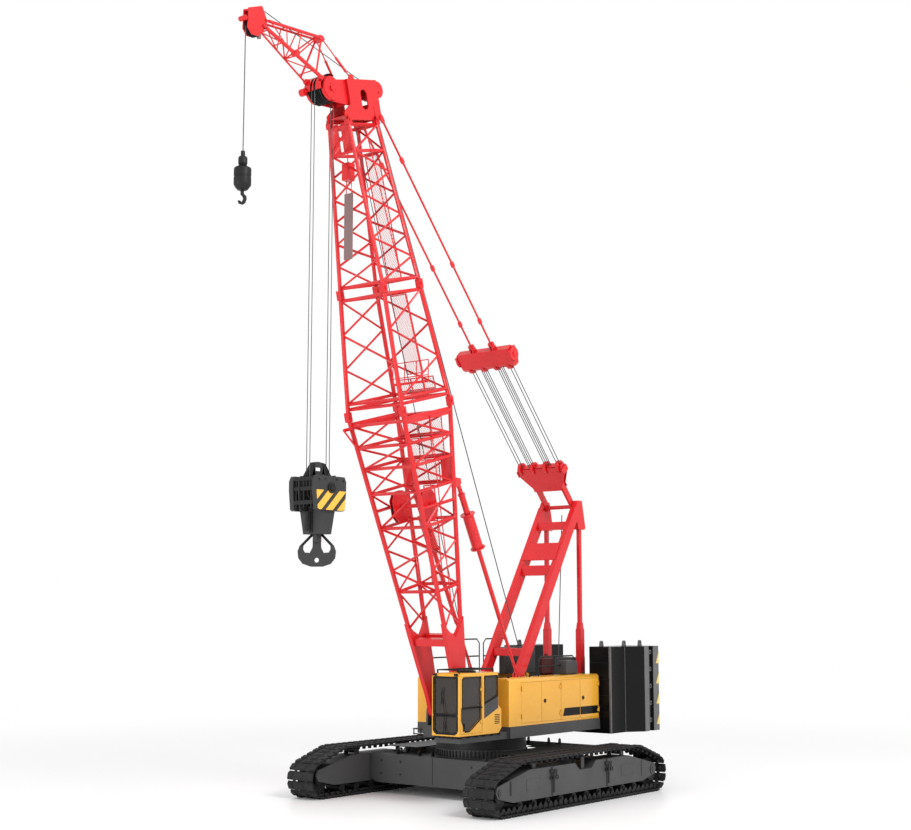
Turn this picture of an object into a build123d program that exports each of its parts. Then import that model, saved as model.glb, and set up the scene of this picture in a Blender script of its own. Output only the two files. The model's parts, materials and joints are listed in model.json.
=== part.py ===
from build123d import *
import os
from math import acos, atan2, cos, hypot, pi, radians, sin, tan

os.makedirs("parts", exist_ok=True)

# Lattice-boom crawler crane. Millimetres. The origin is on the ground under the swing axis,
# +Z is up, the boom points to -Y and the cab stands on the +X side.

# ---- shared clearances --------------------------------------------------------------
seat_gap = 0.3           # what turns or slides on a seat
pin_gap = 5.0            # between the cheeks of a fork and the eye in it
panel_gap = 6.0          # round a door

# ---- tracks --------------------------------------------------------------------------
overall_width = 7000.0
shoe_width = 930.0
track_height = 1350.0
wheel_reach = 3600.0     # idler and sprocket centres, in front of and behind the origin
wheel_radius = 520.0     # to the tips of the shoes
bend_reach = 2750.0      # where the top run turns down towards the wheels
bend_radius = 900.0
shoe_thickness = 96.0
shoe_groove = 58.0       # depth of the groove between two shoes
shoe_bevel = 30.0        # half the groove's width at the sole
shoe_pitch = 272.0
wheel_facets = 14        # flats of the loop round each end wheel
track_centre = (overall_width - shoe_width) / 2
track_inner = overall_width / 2 - shoe_width
rim_radius = wheel_radius - shoe_thickness

# ---- side frames ----------------------------------------------------------------------
frame_width = 640.0
frame_cheek = 45.0
frame_top = 1075.0
frame_nose_z = (470.0, 760.0)
frame_nose_reach = 3790.0
frame_shoulder = 2350.0
frame_belly = 3060.0
roller_radius = 115.0
roller_width = 520.0
roller_pitch = 600.0
roller_count = 10
carrier_radius = 74.0
carrier_width = 360.0
carrier_places = (-2050.0, 180.0, 2150.0)
notch_half_width = 500.0
notch_depth = 190.0
wheel_rim_width = 300.0
idler_hub_radius = 150.0
sprocket_hub_radius = 230.0
sprocket_teeth = 14
sprocket_tooth = 62.0
frame_bottom = shoe_thickness + 2 * roller_radius + 2 * seat_gap
frame_inner = track_centre - frame_width / 2
frame_outer = track_centre + frame_width / 2

# ---- carbody --------------------------------------------------------------------------
body_top = 1080.0
body_bottom = 300.0
beam_front = -1600.0
beam_depth = 820.0       # along Y, of each cross beam
beam_end_bottom = 420.0
hub_half_width = 1320.0
ring_top = 1290.0
ring_radius = 1270.0
ring_bore = 980.0
lug_thickness = 45.0
lug_height = 170.0
lug_hole_radius = 32.0

# ---- upper frame ----------------------------------------------------------------------
deck_low = 1640.0
deck_high = 1950.0
deck_front = -1700.0
nose_rear = -1120.0      # in front of it the frame is narrower, beside the cab
deck_rear = 5200.0
spine_half_width = 820.0
sill_width = 420.0
house_half_width = 1600.0
house_inner = 950.0
house_front = -860.0
house_rear = 3620.0
house_top = 3220.0
house_wall = 40.0
house_chamfer = 56.0     # roof edge and rear corner
turntable_radius = 1230.0

# ---- boom -----------------------------------------------------------------------------
boom_angle = 75.34
pivot_y = -1464.0
pivot_z = 2333.0
pivot_radius = 70.0
foot_half_spacing = 500.0
foot_thickness = 130.0
foot_eye_radius = 190.0
legs_end = 2250.0        # distances along the boom from its foot pin
base_end = 8360.0
mid_end = 11600.0
top_end = 16080.0
head_end = 17150.0
half_width_at_legs = 622.0
half_width_at_base = 955.0
half_width_at_mid = 765.0
half_width_at_top = 330.0
half_depth_at_legs = 330.0
half_depth_at_base = 1010.0
half_depth_at_mid = 745.0
half_depth_at_top = 560.0
chord_radius = 66.0
top_chord_radius = 56.0
lacing_radius = 33.0
frame_bar_radius = 45.0

# ---- gantry and luffing gear ----------------------------------------------------------
gantry_half_spacing = 600.0
gantry_foot_y = 850.0
gantry_foot_z = 3050.0
gantry_head_y = 4000.0
gantry_head_z = 8200.0
gantry_leg_depth = 300.0
gantry_leg_width = 170.0
gantry_pin_radius = 60.0
gantry_walk = (0.665, 0.765)     # shares of the legs' length between which the walkway lies
mast_y = 4120.0          # the upright rear legs
mast_top = 7500.0
pendant_boom_s = top_end + 50
pendant_boom_n = 770.0
pendant_half_spacing = 360.0
bridle_distance = 7750.0  # from the boom head pin down the line to the bridle's middle
gantry_block_distance = 11800.0

# ---- backstops ------------------------------------------------------------------------
backstop_x = 790.0
backstop_foot_y = 640.0
backstop_foot_z = 3230.0
backstop_boom_s = 6150.0
backstop_boom_n = 985.0
backstop_tube_radius = 62.0
backstop_rod_radius = 45.0
backstop_bore_gap = seat_gap
backstop_eye_width = 60.0


# ---- helpers --------------------------------------------------------------------------
def across(points, x_low, x_high):
    """Outline of (y, z) points, pushed from x_low to x_high."""
    return extrude(Plane.YZ.offset(x_low) * Polygon(*points, align=None), x_high - x_low, dir=(1, 0, 0))


def upward(points, z_low, z_high):
    """Outline of (x, y) points, pushed from z_low to z_high."""
    return extrude(Plane.XY.offset(z_low) * Polygon(*points, align=None), z_high - z_low, dir=(0, 0, 1))


def lengthwise(points, y_low, y_high):
    """Outline of (x, z) points, pushed from y_low to y_high."""
    return extrude(Plane.XZ.offset(-y_low) * Polygon(*points, align=None), y_high - y_low, dir=(0, 1, 0))


def block(x_span, y_span, z_span):
    corner = [(low + high) / 2 for low, high in (x_span, y_span, z_span)]
    size = [abs(high - low) for low, high in (x_span, y_span, z_span)]
    return Pos(*corner) * Box(*size)


def line_plane(start, end):
    along = Vector(*end) - Vector(*start)
    side = (0, 1, 0) if abs(along.X) > 0.9 * along.length else (1, 0, 0)
    return Plane(origin=start, x_dir=side, z_dir=along), along.length


def beam(start, end, width, depth):
    """Box section; width lies across the crane for a beam that runs fore and aft."""
    plane, length = line_plane(start, end)
    return extrude(plane * Rectangle(width, depth), length)


def bar(start, end, radius, sides=6):
    """Tube drawn with flats, its corners on the given radius."""
    plane, length = line_plane(start, end)
    return extrude(plane * RegularPolygon(radius, sides), length)


def drum(centre, radius, x_low, x_high, sides=16):
    """Disc or shaft with flats, on an axis along X."""
    plane = Plane.YZ.offset(x_low) * Pos(centre[0], centre[1])
    return extrude(plane * RegularPolygon(radius, sides), x_high - x_low)


def round_hole(centre, radius, x_low, x_high):
    """Drilled hole on an axis along X."""
    plane = Plane.YZ.offset(x_low) * Pos(centre[0], centre[1])
    return extrude(plane * Circle(radius), x_high - x_low)


def union(*pieces):
    flat = []
    for piece in pieces:
        flat.extend(piece if isinstance(piece, (list, tuple)) else [piece])
    return Part() + flat


def mirrored(piece):
    return mirror(piece, about=Plane.YZ)


def both(piece):
    return [piece, mirrored(piece)]


def save(node, *pieces):
    flat = []
    for piece in pieces:
        flat.extend(piece if isinstance(piece, (list, tuple)) else [piece])
    solids = [solid for piece in flat for solid in piece.solids()]
    shape = solids[0] if len(solids) == 1 else Compound(solids)
    export_step(shape, f"parts/{node}.step")


# ---- track loop -----------------------------------------------------------------------
# The loop's inner line, as straight runs and arcs, and the shoes set out along it.
def tangent_angle(centre, radius, point):
    reach = hypot(point[0] - centre[0], point[1] - centre[1])
    towards = atan2(point[1] - centre[1], point[0] - centre[0])
    return towards - acos(radius / reach)


def track_path():
    """(length, function of distance) for each stretch, from the bottom run round the rear."""
    wheel = (wheel_reach, wheel_radius)
    top = track_height - shoe_thickness
    leave = tangent_angle(wheel, rim_radius, (bend_reach, top))
    tangent = (wheel[0] + rim_radius * cos(leave), wheel[1] + rim_radius * sin(leave))
    turn = pi / 2 - leave
    trim = bend_radius * tan(turn / 2)
    slope = (sin(leave), -cos(leave))
    bend_start = (bend_reach + trim * slope[0], top + trim * slope[1])
    bend_centre = (bend_reach - trim, top - bend_radius)

    def run(start, end):
        length = hypot(end[0] - start[0], end[1] - start[1])
        step = ((end[0] - start[0]) / length, (end[1] - start[1]) / length)
        normal = (step[1], -step[0])
        return length, lambda d: (start[0] + step[0] * d, start[1] + step[1] * d, *normal)

    def arc(centre, radius, first, last):
        def place(d):
            angle = first + d / radius
            out = (cos(angle), sin(angle))
            return centre[0] + radius * out[0], centre[1] + radius * out[1], *out
        return radius * (last - first), place

    def flip(stretch):
        length, place = stretch

        def other(d):
            y, z, ny, nz = place(length - d)
            return -y, z, -ny, nz
        return length, other

    half = [run((0, shoe_thickness), (wheel_reach, shoe_thickness)),
            arc(wheel, rim_radius, -pi / 2, leave),
            run(tangent, bend_start),
            arc(bend_centre, bend_radius, leave, pi / 2),
            run((bend_reach - trim, top), (0, top))]
    return half + [flip(stretch) for stretch in reversed(half)]


def track_place(path, distance):
    total = sum(length for length, _ in path)
    distance = distance % total
    for length, place in path:
        if distance <= length:
            return place(distance)
        distance -= length
    return path[-1][1](path[-1][0])


def track_loop():
    path = track_path()
    total = sum(length for length, _ in path)
    count = round(total / shoe_pitch)
    pitch = total / count
    # (distance along the shoe, height above the inner line)
    shoe = [(0.0, shoe_thickness - shoe_groove),
            (shoe_bevel, shoe_thickness),
            (pitch - shoe_bevel, shoe_thickness)]
    outer = []
    for number in range(count):
        for along, height in shoe:
            y, z, ny, nz = track_place(path, number * pitch + along)
            outer.append((y + ny * height, z + nz * height))
    inner = []
    for length, place in path:
        straight = place(0)[2:] == place(length)[2:]
        steps = 1 if straight else wheel_facets if length > rim_radius else 3
        for step in range(steps):
            y, z, _, _ = place(length * step / steps)
            inner.append((y, z))
    x_low = track_inner
    ring = across(outer, x_low, x_low + shoe_width)
    return ring - across(inner, x_low - 1, x_low + shoe_width + 1)


track = track_loop()
save("track_left", track)
save("track_right", mirrored(track))


# ---- idler, sprocket and rollers of one side ------------------------------------------------
def track_wheels():
    wheel_z = wheel_radius
    top = (bend_reach, track_height - shoe_thickness)
    wrap = tangent_angle((wheel_reach, wheel_radius), rim_radius, top) + pi / 2
    run_radius = rim_radius * cos(wrap / wheel_facets / 2) - seat_gap
    half = frame_width / 2 - frame_cheek - pin_gap
    near, far = track_centre - half, track_centre + half
    rim = (track_centre - wheel_rim_width / 2, track_centre + wheel_rim_width / 2)
    idler = union(drum((-wheel_reach, wheel_z), run_radius, *rim, 28),
                  drum((-wheel_reach, wheel_z), idler_hub_radius, near, far))
    root_radius = run_radius - sprocket_tooth
    outline = []
    for number in range(sprocket_teeth):
        for share, radius in ((0.0, root_radius), (0.25, run_radius), (0.6, run_radius)):
            angle = 2 * pi * (number + share) / sprocket_teeth
            outline.append((wheel_reach + radius * cos(angle), wheel_z + radius * sin(angle)))
    sprocket = union(across(outline, *rim), drum((wheel_reach, wheel_z), sprocket_hub_radius, near, far))
    rollers = []
    for number in range(roller_count):
        y = (number - (roller_count - 1) / 2) * roller_pitch
        z = shoe_thickness + seat_gap + roller_radius
        rollers.append(drum((y, z), roller_radius, track_centre - roller_width / 2,
                            track_centre + roller_width / 2, 8))
    for y in carrier_places:
        z = track_height - shoe_thickness - seat_gap - carrier_radius
        rollers.append(drum((y, z), carrier_radius, track_centre - carrier_width / 2,
                            track_centre + carrier_width / 2, 8))
    return [idler, sprocket, *rollers]


wheels = track_wheels()
save("track_wheels_left", wheels)
save("track_wheels_right", [mirrored(wheel) for wheel in wheels])


# ---- side frame ------------------------------------------------------------------------
def side_frame():
    low, high = frame_nose_z
    notch_y = carrier_places[1]
    outline = [(-frame_belly, frame_bottom), (frame_belly, frame_bottom),
               (frame_nose_reach - 90, low), (frame_nose_reach, (low + high) / 2),
               (frame_nose_reach - 70, high), (frame_shoulder, frame_top),
               (notch_y + notch_half_width, frame_top),
               (notch_y + notch_half_width - 220, frame_top - notch_depth),
               (notch_y - notch_half_width + 220, frame_top - notch_depth),
               (notch_y - notch_half_width, frame_top),
               (-frame_shoulder, frame_top), (-frame_nose_reach + 70, high),
               (-frame_nose_reach, (low + high) / 2), (-frame_nose_reach + 90, low)]
    frame = across(outline, frame_inner, frame_outer)
    pocket = (frame_inner + frame_cheek, frame_outer - frame_cheek)
    wheel_room = wheel_reach - rim_radius - 30
    for side in (-1, 1):
        ends = sorted((side * wheel_room, side * (frame_nose_reach + 50)))
        frame -= block(pocket, ends, (frame_bottom - 50, frame_top + 50))
    axle = track_height - shoe_thickness - seat_gap - carrier_radius
    ears = []
    for y in carrier_places:
        foot = frame_top - notch_depth - 5 if y == notch_y else frame_top - 40
        for side in (-1, 1):
            near = track_centre + side * (carrier_width / 2 + seat_gap)
            far = near + side * 50
            ears.append(block(sorted((near, far)), (y - 70, y + 70), (foot, axle + 40)))
    ribs = []
    for y in (-1340.0, 1260.0):
        ribs.append(block((frame_outer - 5, frame_outer + 28), (y - 55, y + 55),
                          (frame_bottom + 20, frame_top - 10)))
    return union(frame, ears, ribs)


frame_left = side_frame()
save("side_frame_left", frame_left)
save("side_frame_right", mirrored(frame_left))


# ---- carbody ----------------------------------------------------------------------------
def carbody():
    half = frame_inner
    beams = []
    for side in (-1, 1):
        near = side * -beam_front
        ends = sorted((near, near - side * beam_depth))
        shape = [(-half, beam_end_bottom), (-half + 260, body_bottom), (half - 260, body_bottom),
                 (half, beam_end_bottom), (half, body_top), (-half, body_top)]
        beams.append(lengthwise(shape, *ends))
    reach = -beam_front - beam_depth + 10
    hub = upward([(-hub_half_width, -reach), (hub_half_width, -reach), (hub_half_width, reach),
                  (-hub_half_width, reach)], body_bottom + 80, body_top)
    return union(beams, hub)


save("carbody", carbody())
ring = extrude(Plane.XY.offset(body_top) * (RegularPolygon(ring_radius, 36) - RegularPolygon(ring_bore, 36)),
               ring_top - body_top)
save("slewing_ring", ring)


def lifting_lug(x, y, z):
    """Plate lug across X with its hole along X, standing on z."""
    outline = [(y - 95, z), (y + 95, z), (y + 70, z + lug_height - 30), (y + 35, z + lug_height),
               (y - 35, z + lug_height), (y - 70, z + lug_height - 30)]
    plate = across(outline, x - lug_thickness / 2, x + lug_thickness / 2)
    return plate - round_hole((y, z + lug_height - 65), lug_hole_radius, x - 60, x + 60)


# (x, y) of the lugs on the carbody's four arms
carbody_lugs = [(x, y) for x in (-1900.0, 1900.0) for y in (-1250.0, 1250.0)]
save("carbody_lugs", [lifting_lug(x, y, body_top) for x, y in carbody_lugs])


# ---- upper frame ------------------------------------------------------------------------
def boom_yz(s, n):
    """Place in the crane's side view of a point s along the boom and n behind its middle."""
    angle = radians(boom_angle)
    return (pivot_y - s * cos(angle) + n * sin(angle), pivot_z + s * sin(angle) + n * cos(angle))


def boom_point(x, s, n):
    return (x, *boom_yz(s, n))


def boom_slab(s_span, n_span, x_low, x_high):
    """Plate or box square to the boom."""
    low, high = s_span
    front, rear = n_span
    points = [boom_yz(low, front), boom_yz(high, front), boom_yz(high, rear), boom_yz(low, rear)]
    return across(points, x_low, x_high)


boom_lug_gap = foot_thickness / 2 + pin_gap
cab_low = 1830.0
cab_x = (700.0, 1600.0)


def upper_frame():
    table = extrude(Plane.XY.offset(ring_top + seat_gap) * RegularPolygon(turntable_radius, 36),
                    deck_low - ring_top - seat_gap)
    nose = cab_x[0] - panel_gap
    spine = block((-spine_half_width, spine_half_width), (nose_rear, deck_rear), (deck_low, deck_high))
    spine += block((-nose, nose), (deck_front, nose_rear + 10), (deck_low, deck_high))
    spine -= block((-spine_half_width + 220, spine_half_width - 220), (1500, deck_rear - 260),
                   (deck_low - 10, deck_high - 60))
    outer = house_half_width
    pieces = [table, spine]
    for side in (-1, 1):
        sill = sorted((side * (outer - sill_width), side * outer))
        pieces.append(block(sill, (house_front, house_rear), (deck_low, deck_high)))
        link = sorted((side * (spine_half_width - 5), side * (outer - sill_width + 5)))
        for y in (house_front + 120, 800.0, 2100.0, house_rear - 120):
            pieces.append(block(link, (y - 120, y + 120), (deck_low + 40, deck_high - 40)))
    # outrigger that carries the cab
    pieces.append(block((spine_half_width - 5, cab_x[1] - 60), (-2900, -2700), (deck_low, cab_low - seat_gap)))
    pieces.append(block((spine_half_width - 5, cab_x[1] - 60), (-1800, -1560), (deck_low, cab_low - seat_gap)))
    pieces.append(block((spine_half_width - 120, spine_half_width + 40), (-2900, deck_front + 5),
                        (deck_low, cab_low - seat_gap)))
    pieces.append(block((cab_x[1] - 200, cab_x[1] - 60), (-2900, house_front + 5),
                        (deck_low, cab_low - seat_gap)))
    # boom foot lugs
    foot_z = pivot_z
    lug = [(pivot_y - 210, deck_high - 10), (pivot_y + 420, deck_high - 10), (pivot_y + 190, foot_z + 90),
           (pivot_y + 90, foot_z + 175), (pivot_y - 90, foot_z + 175), (pivot_y - 175, foot_z + 60)]
    for side in (-1, 1):
        for cheek in (-1, 1):
            near = side * foot_half_spacing + cheek * boom_lug_gap
            pieces.append(across(lug, *sorted((near, near + cheek * 60))))
        pieces.append(drum((pivot_y, pivot_z), pivot_radius,
                           *sorted((side * (foot_half_spacing - boom_lug_gap - 70),
                                    side * (foot_half_spacing + boom_lug_gap + 70)))))
    # towers for the gantry's front feet
    tower = [(gantry_foot_y - 420, deck_high - 10), (gantry_foot_y + 520, deck_high - 10),
             (gantry_foot_y + 150, gantry_foot_z + 40), (gantry_foot_y + 60, gantry_foot_z + 130),
             (gantry_foot_y - 150, gantry_foot_z + 130), (gantry_foot_y - 260, gantry_foot_z + 20)]
    for side in (-1, 1):
        near = side * (gantry_half_spacing - gantry_leg_width / 2 - seat_gap)
        pieces.append(across(tower, *sorted((near, near - side * 60))))
    return union(pieces)


save("upper_frame", upper_frame())

# ---- counterweight ------------------------------------------------------------------------
tray_low = 1500.0
stack_top = 4000.0
stack_front = 3700.0
stack_rear = 5850.0
stack_inner = 1200.0
stack_step = 1930.0      # the narrow front part
stack_outer = 2280.0
stack_step_rear = 4500.0
stack_flare_rear = 5030.0
column = (5300.0, 5520.0)  # recess for the tie links
column_depth = 85.0


def stack_outline(inner):
    return [(inner, stack_front), (stack_step, stack_front), (stack_step, stack_step_rear),
            (stack_outer, stack_flare_rear), (stack_outer, column[0]),
            (stack_outer - column_depth, column[0] + 30), (stack_outer - column_depth, column[1] - 30),
            (stack_outer, column[1]), (stack_outer, stack_rear), (inner, stack_rear)]


tray = union(both(upward(stack_outline(-5.0), tray_low, deck_low)))
save("counterweight_tray", tray)
stack = upward(stack_outline(stack_inner), deck_low, stack_top)
save("counterweight_left", stack)
save("counterweight_right", mirrored(stack))

link_pitch = 500.0
link_radius = 68.0
links = []
for number in range(5):
    z = deck_low + 180 + number * link_pitch
    middle = (column[0] + column[1]) / 2
    x = stack_outer - column_depth
    links.append(drum((middle, z), link_radius, x, x + 60, 10))
for x, y in ((1500.0, 3900.0), (1750.0, 4750.0), (1750.0, 5650.0)):
    links.append(lifting_lug(x, y, stack_top))
save("counterweight_fittings", links, [mirrored(link) for link in links])


# ---- machinery houses ---------------------------------------------------------------------
door_edges = (-300.0, 670.0, 1620.0, 2590.0, 3560.0)
door_low = 2010.0
door_high = 3110.0
hinge_reach = 18.0       # hinge pins stand off the panel's face
hinge_offset = 16.0      # and back from the edge between two doors
knuckle_radius = 14.0
knuckle_height = 100.0
hinge_places = (door_low + 180, door_high - 180)
# hinge_at_rear for each of the four leaves, front to rear
hinge_sides = (False, True, False, True)


def hinge_line(first, last, hinge_at_rear):
    """Edge of a leaf that carries its hinges, the way from it to the leaf, and the hinges' Y."""
    edge, towards = (last, -1) if hinge_at_rear else (first, 1)
    return edge, towards, edge + towards * hinge_offset


def knuckle(y, z_low, height):
    return extrude(Plane.XY.offset(z_low) * Pos(house_half_width + hinge_reach, y)
                   * RegularPolygon(knuckle_radius, 6), height)


def house():
    shell = block((house_inner, house_half_width), (house_front, house_rear), (deck_high, house_top))
    roof_edges = shell.edges().filter_by(Axis.Y).group_by(Axis.Z)[-1].sort_by(Axis.X)[-1:]
    rear_edges = shell.faces().sort_by(Axis.Y)[-1].edges()
    rear_corner = rear_edges.filter_by(Axis.Z).sort_by(Axis.X)[-1:]
    rear_top = rear_edges.filter_by(Axis.X).sort_by(Axis.Z)[-1:]
    shell = chamfer(roof_edges + rear_corner + rear_top, house_chamfer)
    room = block((house_inner + house_wall, house_half_width - house_wall),
                 (house_front + house_wall, house_rear - house_wall),
                 (deck_high + house_wall, house_top - house_wall))
    shell -= room
    outer = (house_half_width - house_wall - 5, house_half_width + 5)
    for first, last in zip(door_edges, door_edges[1:]):
        shell -= block(outer, (first + panel_gap, last - panel_gap), (door_low, door_high))
    pieces = [shell]
    for first, last, at_rear in zip(door_edges, door_edges[1:], hinge_sides):
        edge, _, axis_y = hinge_line(first, last, at_rear)
        for z in hinge_places:
            z_low = z + knuckle_height / 2 + seat_gap
            heights = (z_low, z_low + 40)
            arm = (house_half_width + seat_gap, house_half_width + hinge_reach)
            root = (house_half_width - 2, house_half_width + 4)
            pieces.append(knuckle(axis_y, z_low, 40))
            pieces.append(block(arm, sorted((edge, axis_y)), heights))
            pieces.append(block(root, (edge - panel_gap + 1, edge + panel_gap - 1), heights))
    return union(pieces)


house_left = house()
save("house_left", house_left)
save("house_right", mirrored(house_left))


def house_door(first, last, hinge_at_rear):
    gap = panel_gap * 2
    leaf = block((house_half_width - house_wall, house_half_width), (first + gap, last - gap),
                 (door_low + panel_gap, door_high - panel_gap))
    edge, towards, axis_y = hinge_line(first, last, hinge_at_rear)
    pieces = [leaf]
    for z in hinge_places:
        pieces.append(knuckle(axis_y, z - knuckle_height / 2, knuckle_height))
        strap = sorted((axis_y, edge + towards * 90))
        pieces.append(block((house_half_width - 2, house_half_width + 16), strap, (z - 40, z + 40)))
    return union(pieces)


for number, at_rear in enumerate(hinge_sides):
    leaf = house_door(door_edges[number], door_edges[number + 1], at_rear)
    save(f"house_door_left_{number + 1}", leaf)
    save(f"house_door_right_{number + 1}", mirrored(leaf))

engine = block((-1500, -1000), (500, 2300), (deck_high + house_wall, 2950))
save("engine_block", engine)

# ---- cab ------------------------------------------------------------------------------------
cab_wall = 50.0
cab_profile = [(-3020, cab_low), (-3020, 3330), (-2930, 3430), (-1400, 3430), (-1330, 3360),
               (-1330, 2560), (-1200, 2440), (-1200, 1960), (-1330, cab_low)]
door_span = (-2965.0, -2040.0)
door_z = (1885.0, 3350.0)
windshield_z = (2385.0, 3325.0)
lower_glass_z = (1900.0, 2335.0)
glass_thickness = 8.0
glass_x = (cab_x[0] + 65, cab_x[1] - 65)
quarter_window = [(-1925, 2625), (-1925, 3320), (-1375, 3320), (-1375, 2800)]
door_upper = [(-2875, 2575), (-2875, 3310), (-2105, 3310), (-2105, 2575)]
door_lower = [(-2905, 2530), (-2105, 2530), (-2105, 2250), (-2600, 1950), (-2770, 1950), (-2905, 2230)]
boom_side_window = [(-2900, 2450), (-2900, 3310), (-1450, 3310), (-1450, 2450)]
rear_window = (2650.0, 3250.0)


def inset(points, distance):
    """The outline (y, z) pulled in by distance, as a face."""
    return offset(Polygon(*points, align=None), -distance, kind=Kind.INTERSECTION)


def pane(points, x_low, thickness=glass_thickness):
    return extrude(Plane.YZ.offset(x_low) * inset(points, seat_gap), thickness, dir=(1, 0, 0))


def cab_shell():
    shell = across(cab_profile, *cab_x)
    inner = extrude(Plane.YZ.offset(cab_x[0] + cab_wall) * inset(cab_profile, cab_wall),
                    cab_x[1] - cab_x[0] - 2 * cab_wall, dir=(1, 0, 0))
    shell -= inner
    front = (-3060, -2960)
    shell -= block(glass_x, front, windshield_z)
    shell -= block(glass_x, front, lower_glass_z)
    side = (cab_x[1] - cab_wall - 5, cab_x[1] + 5)
    shell -= block(side, door_span, door_z)
    shell -= across(quarter_window, *side)
    shell -= across(boom_side_window, cab_x[0] - 5, cab_x[0] + cab_wall + 5)
    shell -= block((glass_x[0] + 40, glass_x[1] - 40), (-1390, -1300), rear_window)
    return shell


save("cab_shell", cab_shell())


def shrink(span):
    return span[0] + seat_gap, span[1] - seat_gap


def cab_glass():
    mid = cab_wall / 2
    front = (-3020 + mid, -3020 + mid + glass_thickness)
    rear = (-1330 - mid, -1330 - mid + glass_thickness)
    return [block(shrink(glass_x), front, shrink(windshield_z)),
            block(shrink(glass_x), front, shrink(lower_glass_z)),
            pane(quarter_window, cab_x[1] - mid),
            pane(boom_side_window, cab_x[0] + mid),
            block(shrink((glass_x[0] + 40, glass_x[1] - 40)), rear, shrink(rear_window))]


save("cab_glass", cab_glass())

door_gap = panel_gap
door_hinge = (cab_x[1] + hinge_reach, door_span[1] - 4.0)


def cab_door():
    leaf = block((cab_x[1] - cab_wall, cab_x[1]), (door_span[0] + door_gap, door_span[1] - 2 * door_gap),
                 (door_z[0] + door_gap, door_z[1] - door_gap))
    cut = (cab_x[1] - cab_wall - 5, cab_x[1] + 5)
    leaf -= across(door_upper, *cut)
    leaf -= across(door_lower, *cut)
    pieces = [leaf]
    for z in (2150.0, 3000.0):
        pieces.append(extrude(Plane.XY.offset(z - 40) * Pos(*door_hinge) * RegularPolygon(14, 8), 80))
        pieces.append(block((cab_x[1] - 2, cab_x[1] + 16), (door_span[1] - 90, door_span[1] - 8),
                            (z - 32, z + 32)))
    return union(pieces)


save("cab_door", cab_door())
save("cab_door_glass", pane(door_upper, cab_x[1] - 30), pane(door_lower, cab_x[1] - 30))


def cab_interior():
    middle = (cab_x[0] + cab_x[1]) / 2
    floor = cab_low + cab_wall
    seat_x = (middle - 240, middle + 240)
    cushion_top = floor + 560
    base = block((middle - 170, middle + 170), (-2150, -1800), (floor, floor + 430))
    cushion = block(seat_x, (-2290, -1770), (floor + 430, cushion_top))
    back = across([(-1870, cushion_top), (-1770, cushion_top), (-1650, floor + 1080), (-1740, floor + 1080)],
                  *seat_x)
    consoles = [block((middle + side * 330 - 70, middle + side * 330 + 70), (-2350, -1700),
                      (floor, floor + 640)) for side in (-1, 1)]
    return [base, cushion, back, *consoles]


save("cab_seat", cab_interior())


def cab_guard():
    top = 3430.0
    rail_z = top + 85
    radius = 16
    x_low, x_high = cab_x[0] + 90, cab_x[1] - 90
    corners = [(x_low, -2900), (x_high, -2900), (x_high, -1450), (x_low, -1450)]
    pieces = []
    for start, end in zip(corners, corners[1:] + corners[:1]):
        pieces.append(bar((*start, rail_z), (*end, rail_z), radius, 4))
    for x, y in corners:
        pieces.append(block((x - radius, x + radius), (y - radius, y + radius), (top, rail_z + radius)))
    return union(pieces)


save("cab_guard", cab_guard())

# ---- boom sections ----------------------------------------------------------------------
pin_play = 0.8
lug_block = 150.0
lug_length = 130.0
joint_gap = 0.15
# distance along the boom, half width, half depth
stations = [(legs_end, half_width_at_legs, half_depth_at_legs),
            (base_end, half_width_at_base, half_depth_at_base),
            (mid_end, half_width_at_mid, half_depth_at_mid),
            (top_end, half_width_at_top, half_depth_at_top)]


def boom_size(s):
    """Half width and half depth of the boom between its chord centres."""
    for (s0, w0, d0), (s1, w1, d1) in zip(stations, stations[1:]):
        if s <= s1:
            share = (s - s0) / (s1 - s0)
            return w0 + (w1 - w0) * share, d0 + (d1 - d0) * share
    return stations[-1][1:]


def chord_point(x_side, n_side, s):
    width, depth = boom_size(s)
    return boom_point(x_side * width, s, n_side * depth)


corners = [(-1, -1), (1, -1), (1, 1), (-1, 1)]
faces = list(zip(corners, corners[1:] + corners[:1]))


def lattice(start, end, frames, levels, tube, lugs):
    """Four chords, a cross frame at each of frames and a zigzag through levels on every face."""
    pieces = []
    for x_side, n_side in corners:
        pieces.append(bar(chord_point(x_side, n_side, start + 60), chord_point(x_side, n_side, end - 60), tube))
        for at_end, s in zip(lugs, (start, end)):
            if not at_end:
                continue
            inward = 1 if s == start else -1
            width, depth = boom_size(s)
            first = boom_point(x_side * width, s + inward * joint_gap, n_side * depth)
            last = boom_point(x_side * width, s + inward * lug_length, n_side * depth)
            pieces.append(beam(first, last, lug_block, lug_block))
    for first, last in faces:
        for s in frames:
            pieces.append(bar(chord_point(*first, s), chord_point(*last, s), frame_bar_radius, 4))
        for number, (low, high) in enumerate(zip(levels, levels[1:])):
            ends = (first, last) if number % 2 == 0 else (last, first)
            pieces.append(bar(chord_point(*ends[0], low), chord_point(*ends[1], high), lacing_radius, 4))
    return pieces


def spread(low, high, shares):
    return [low + (high - low) * share for share in shares]


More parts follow.
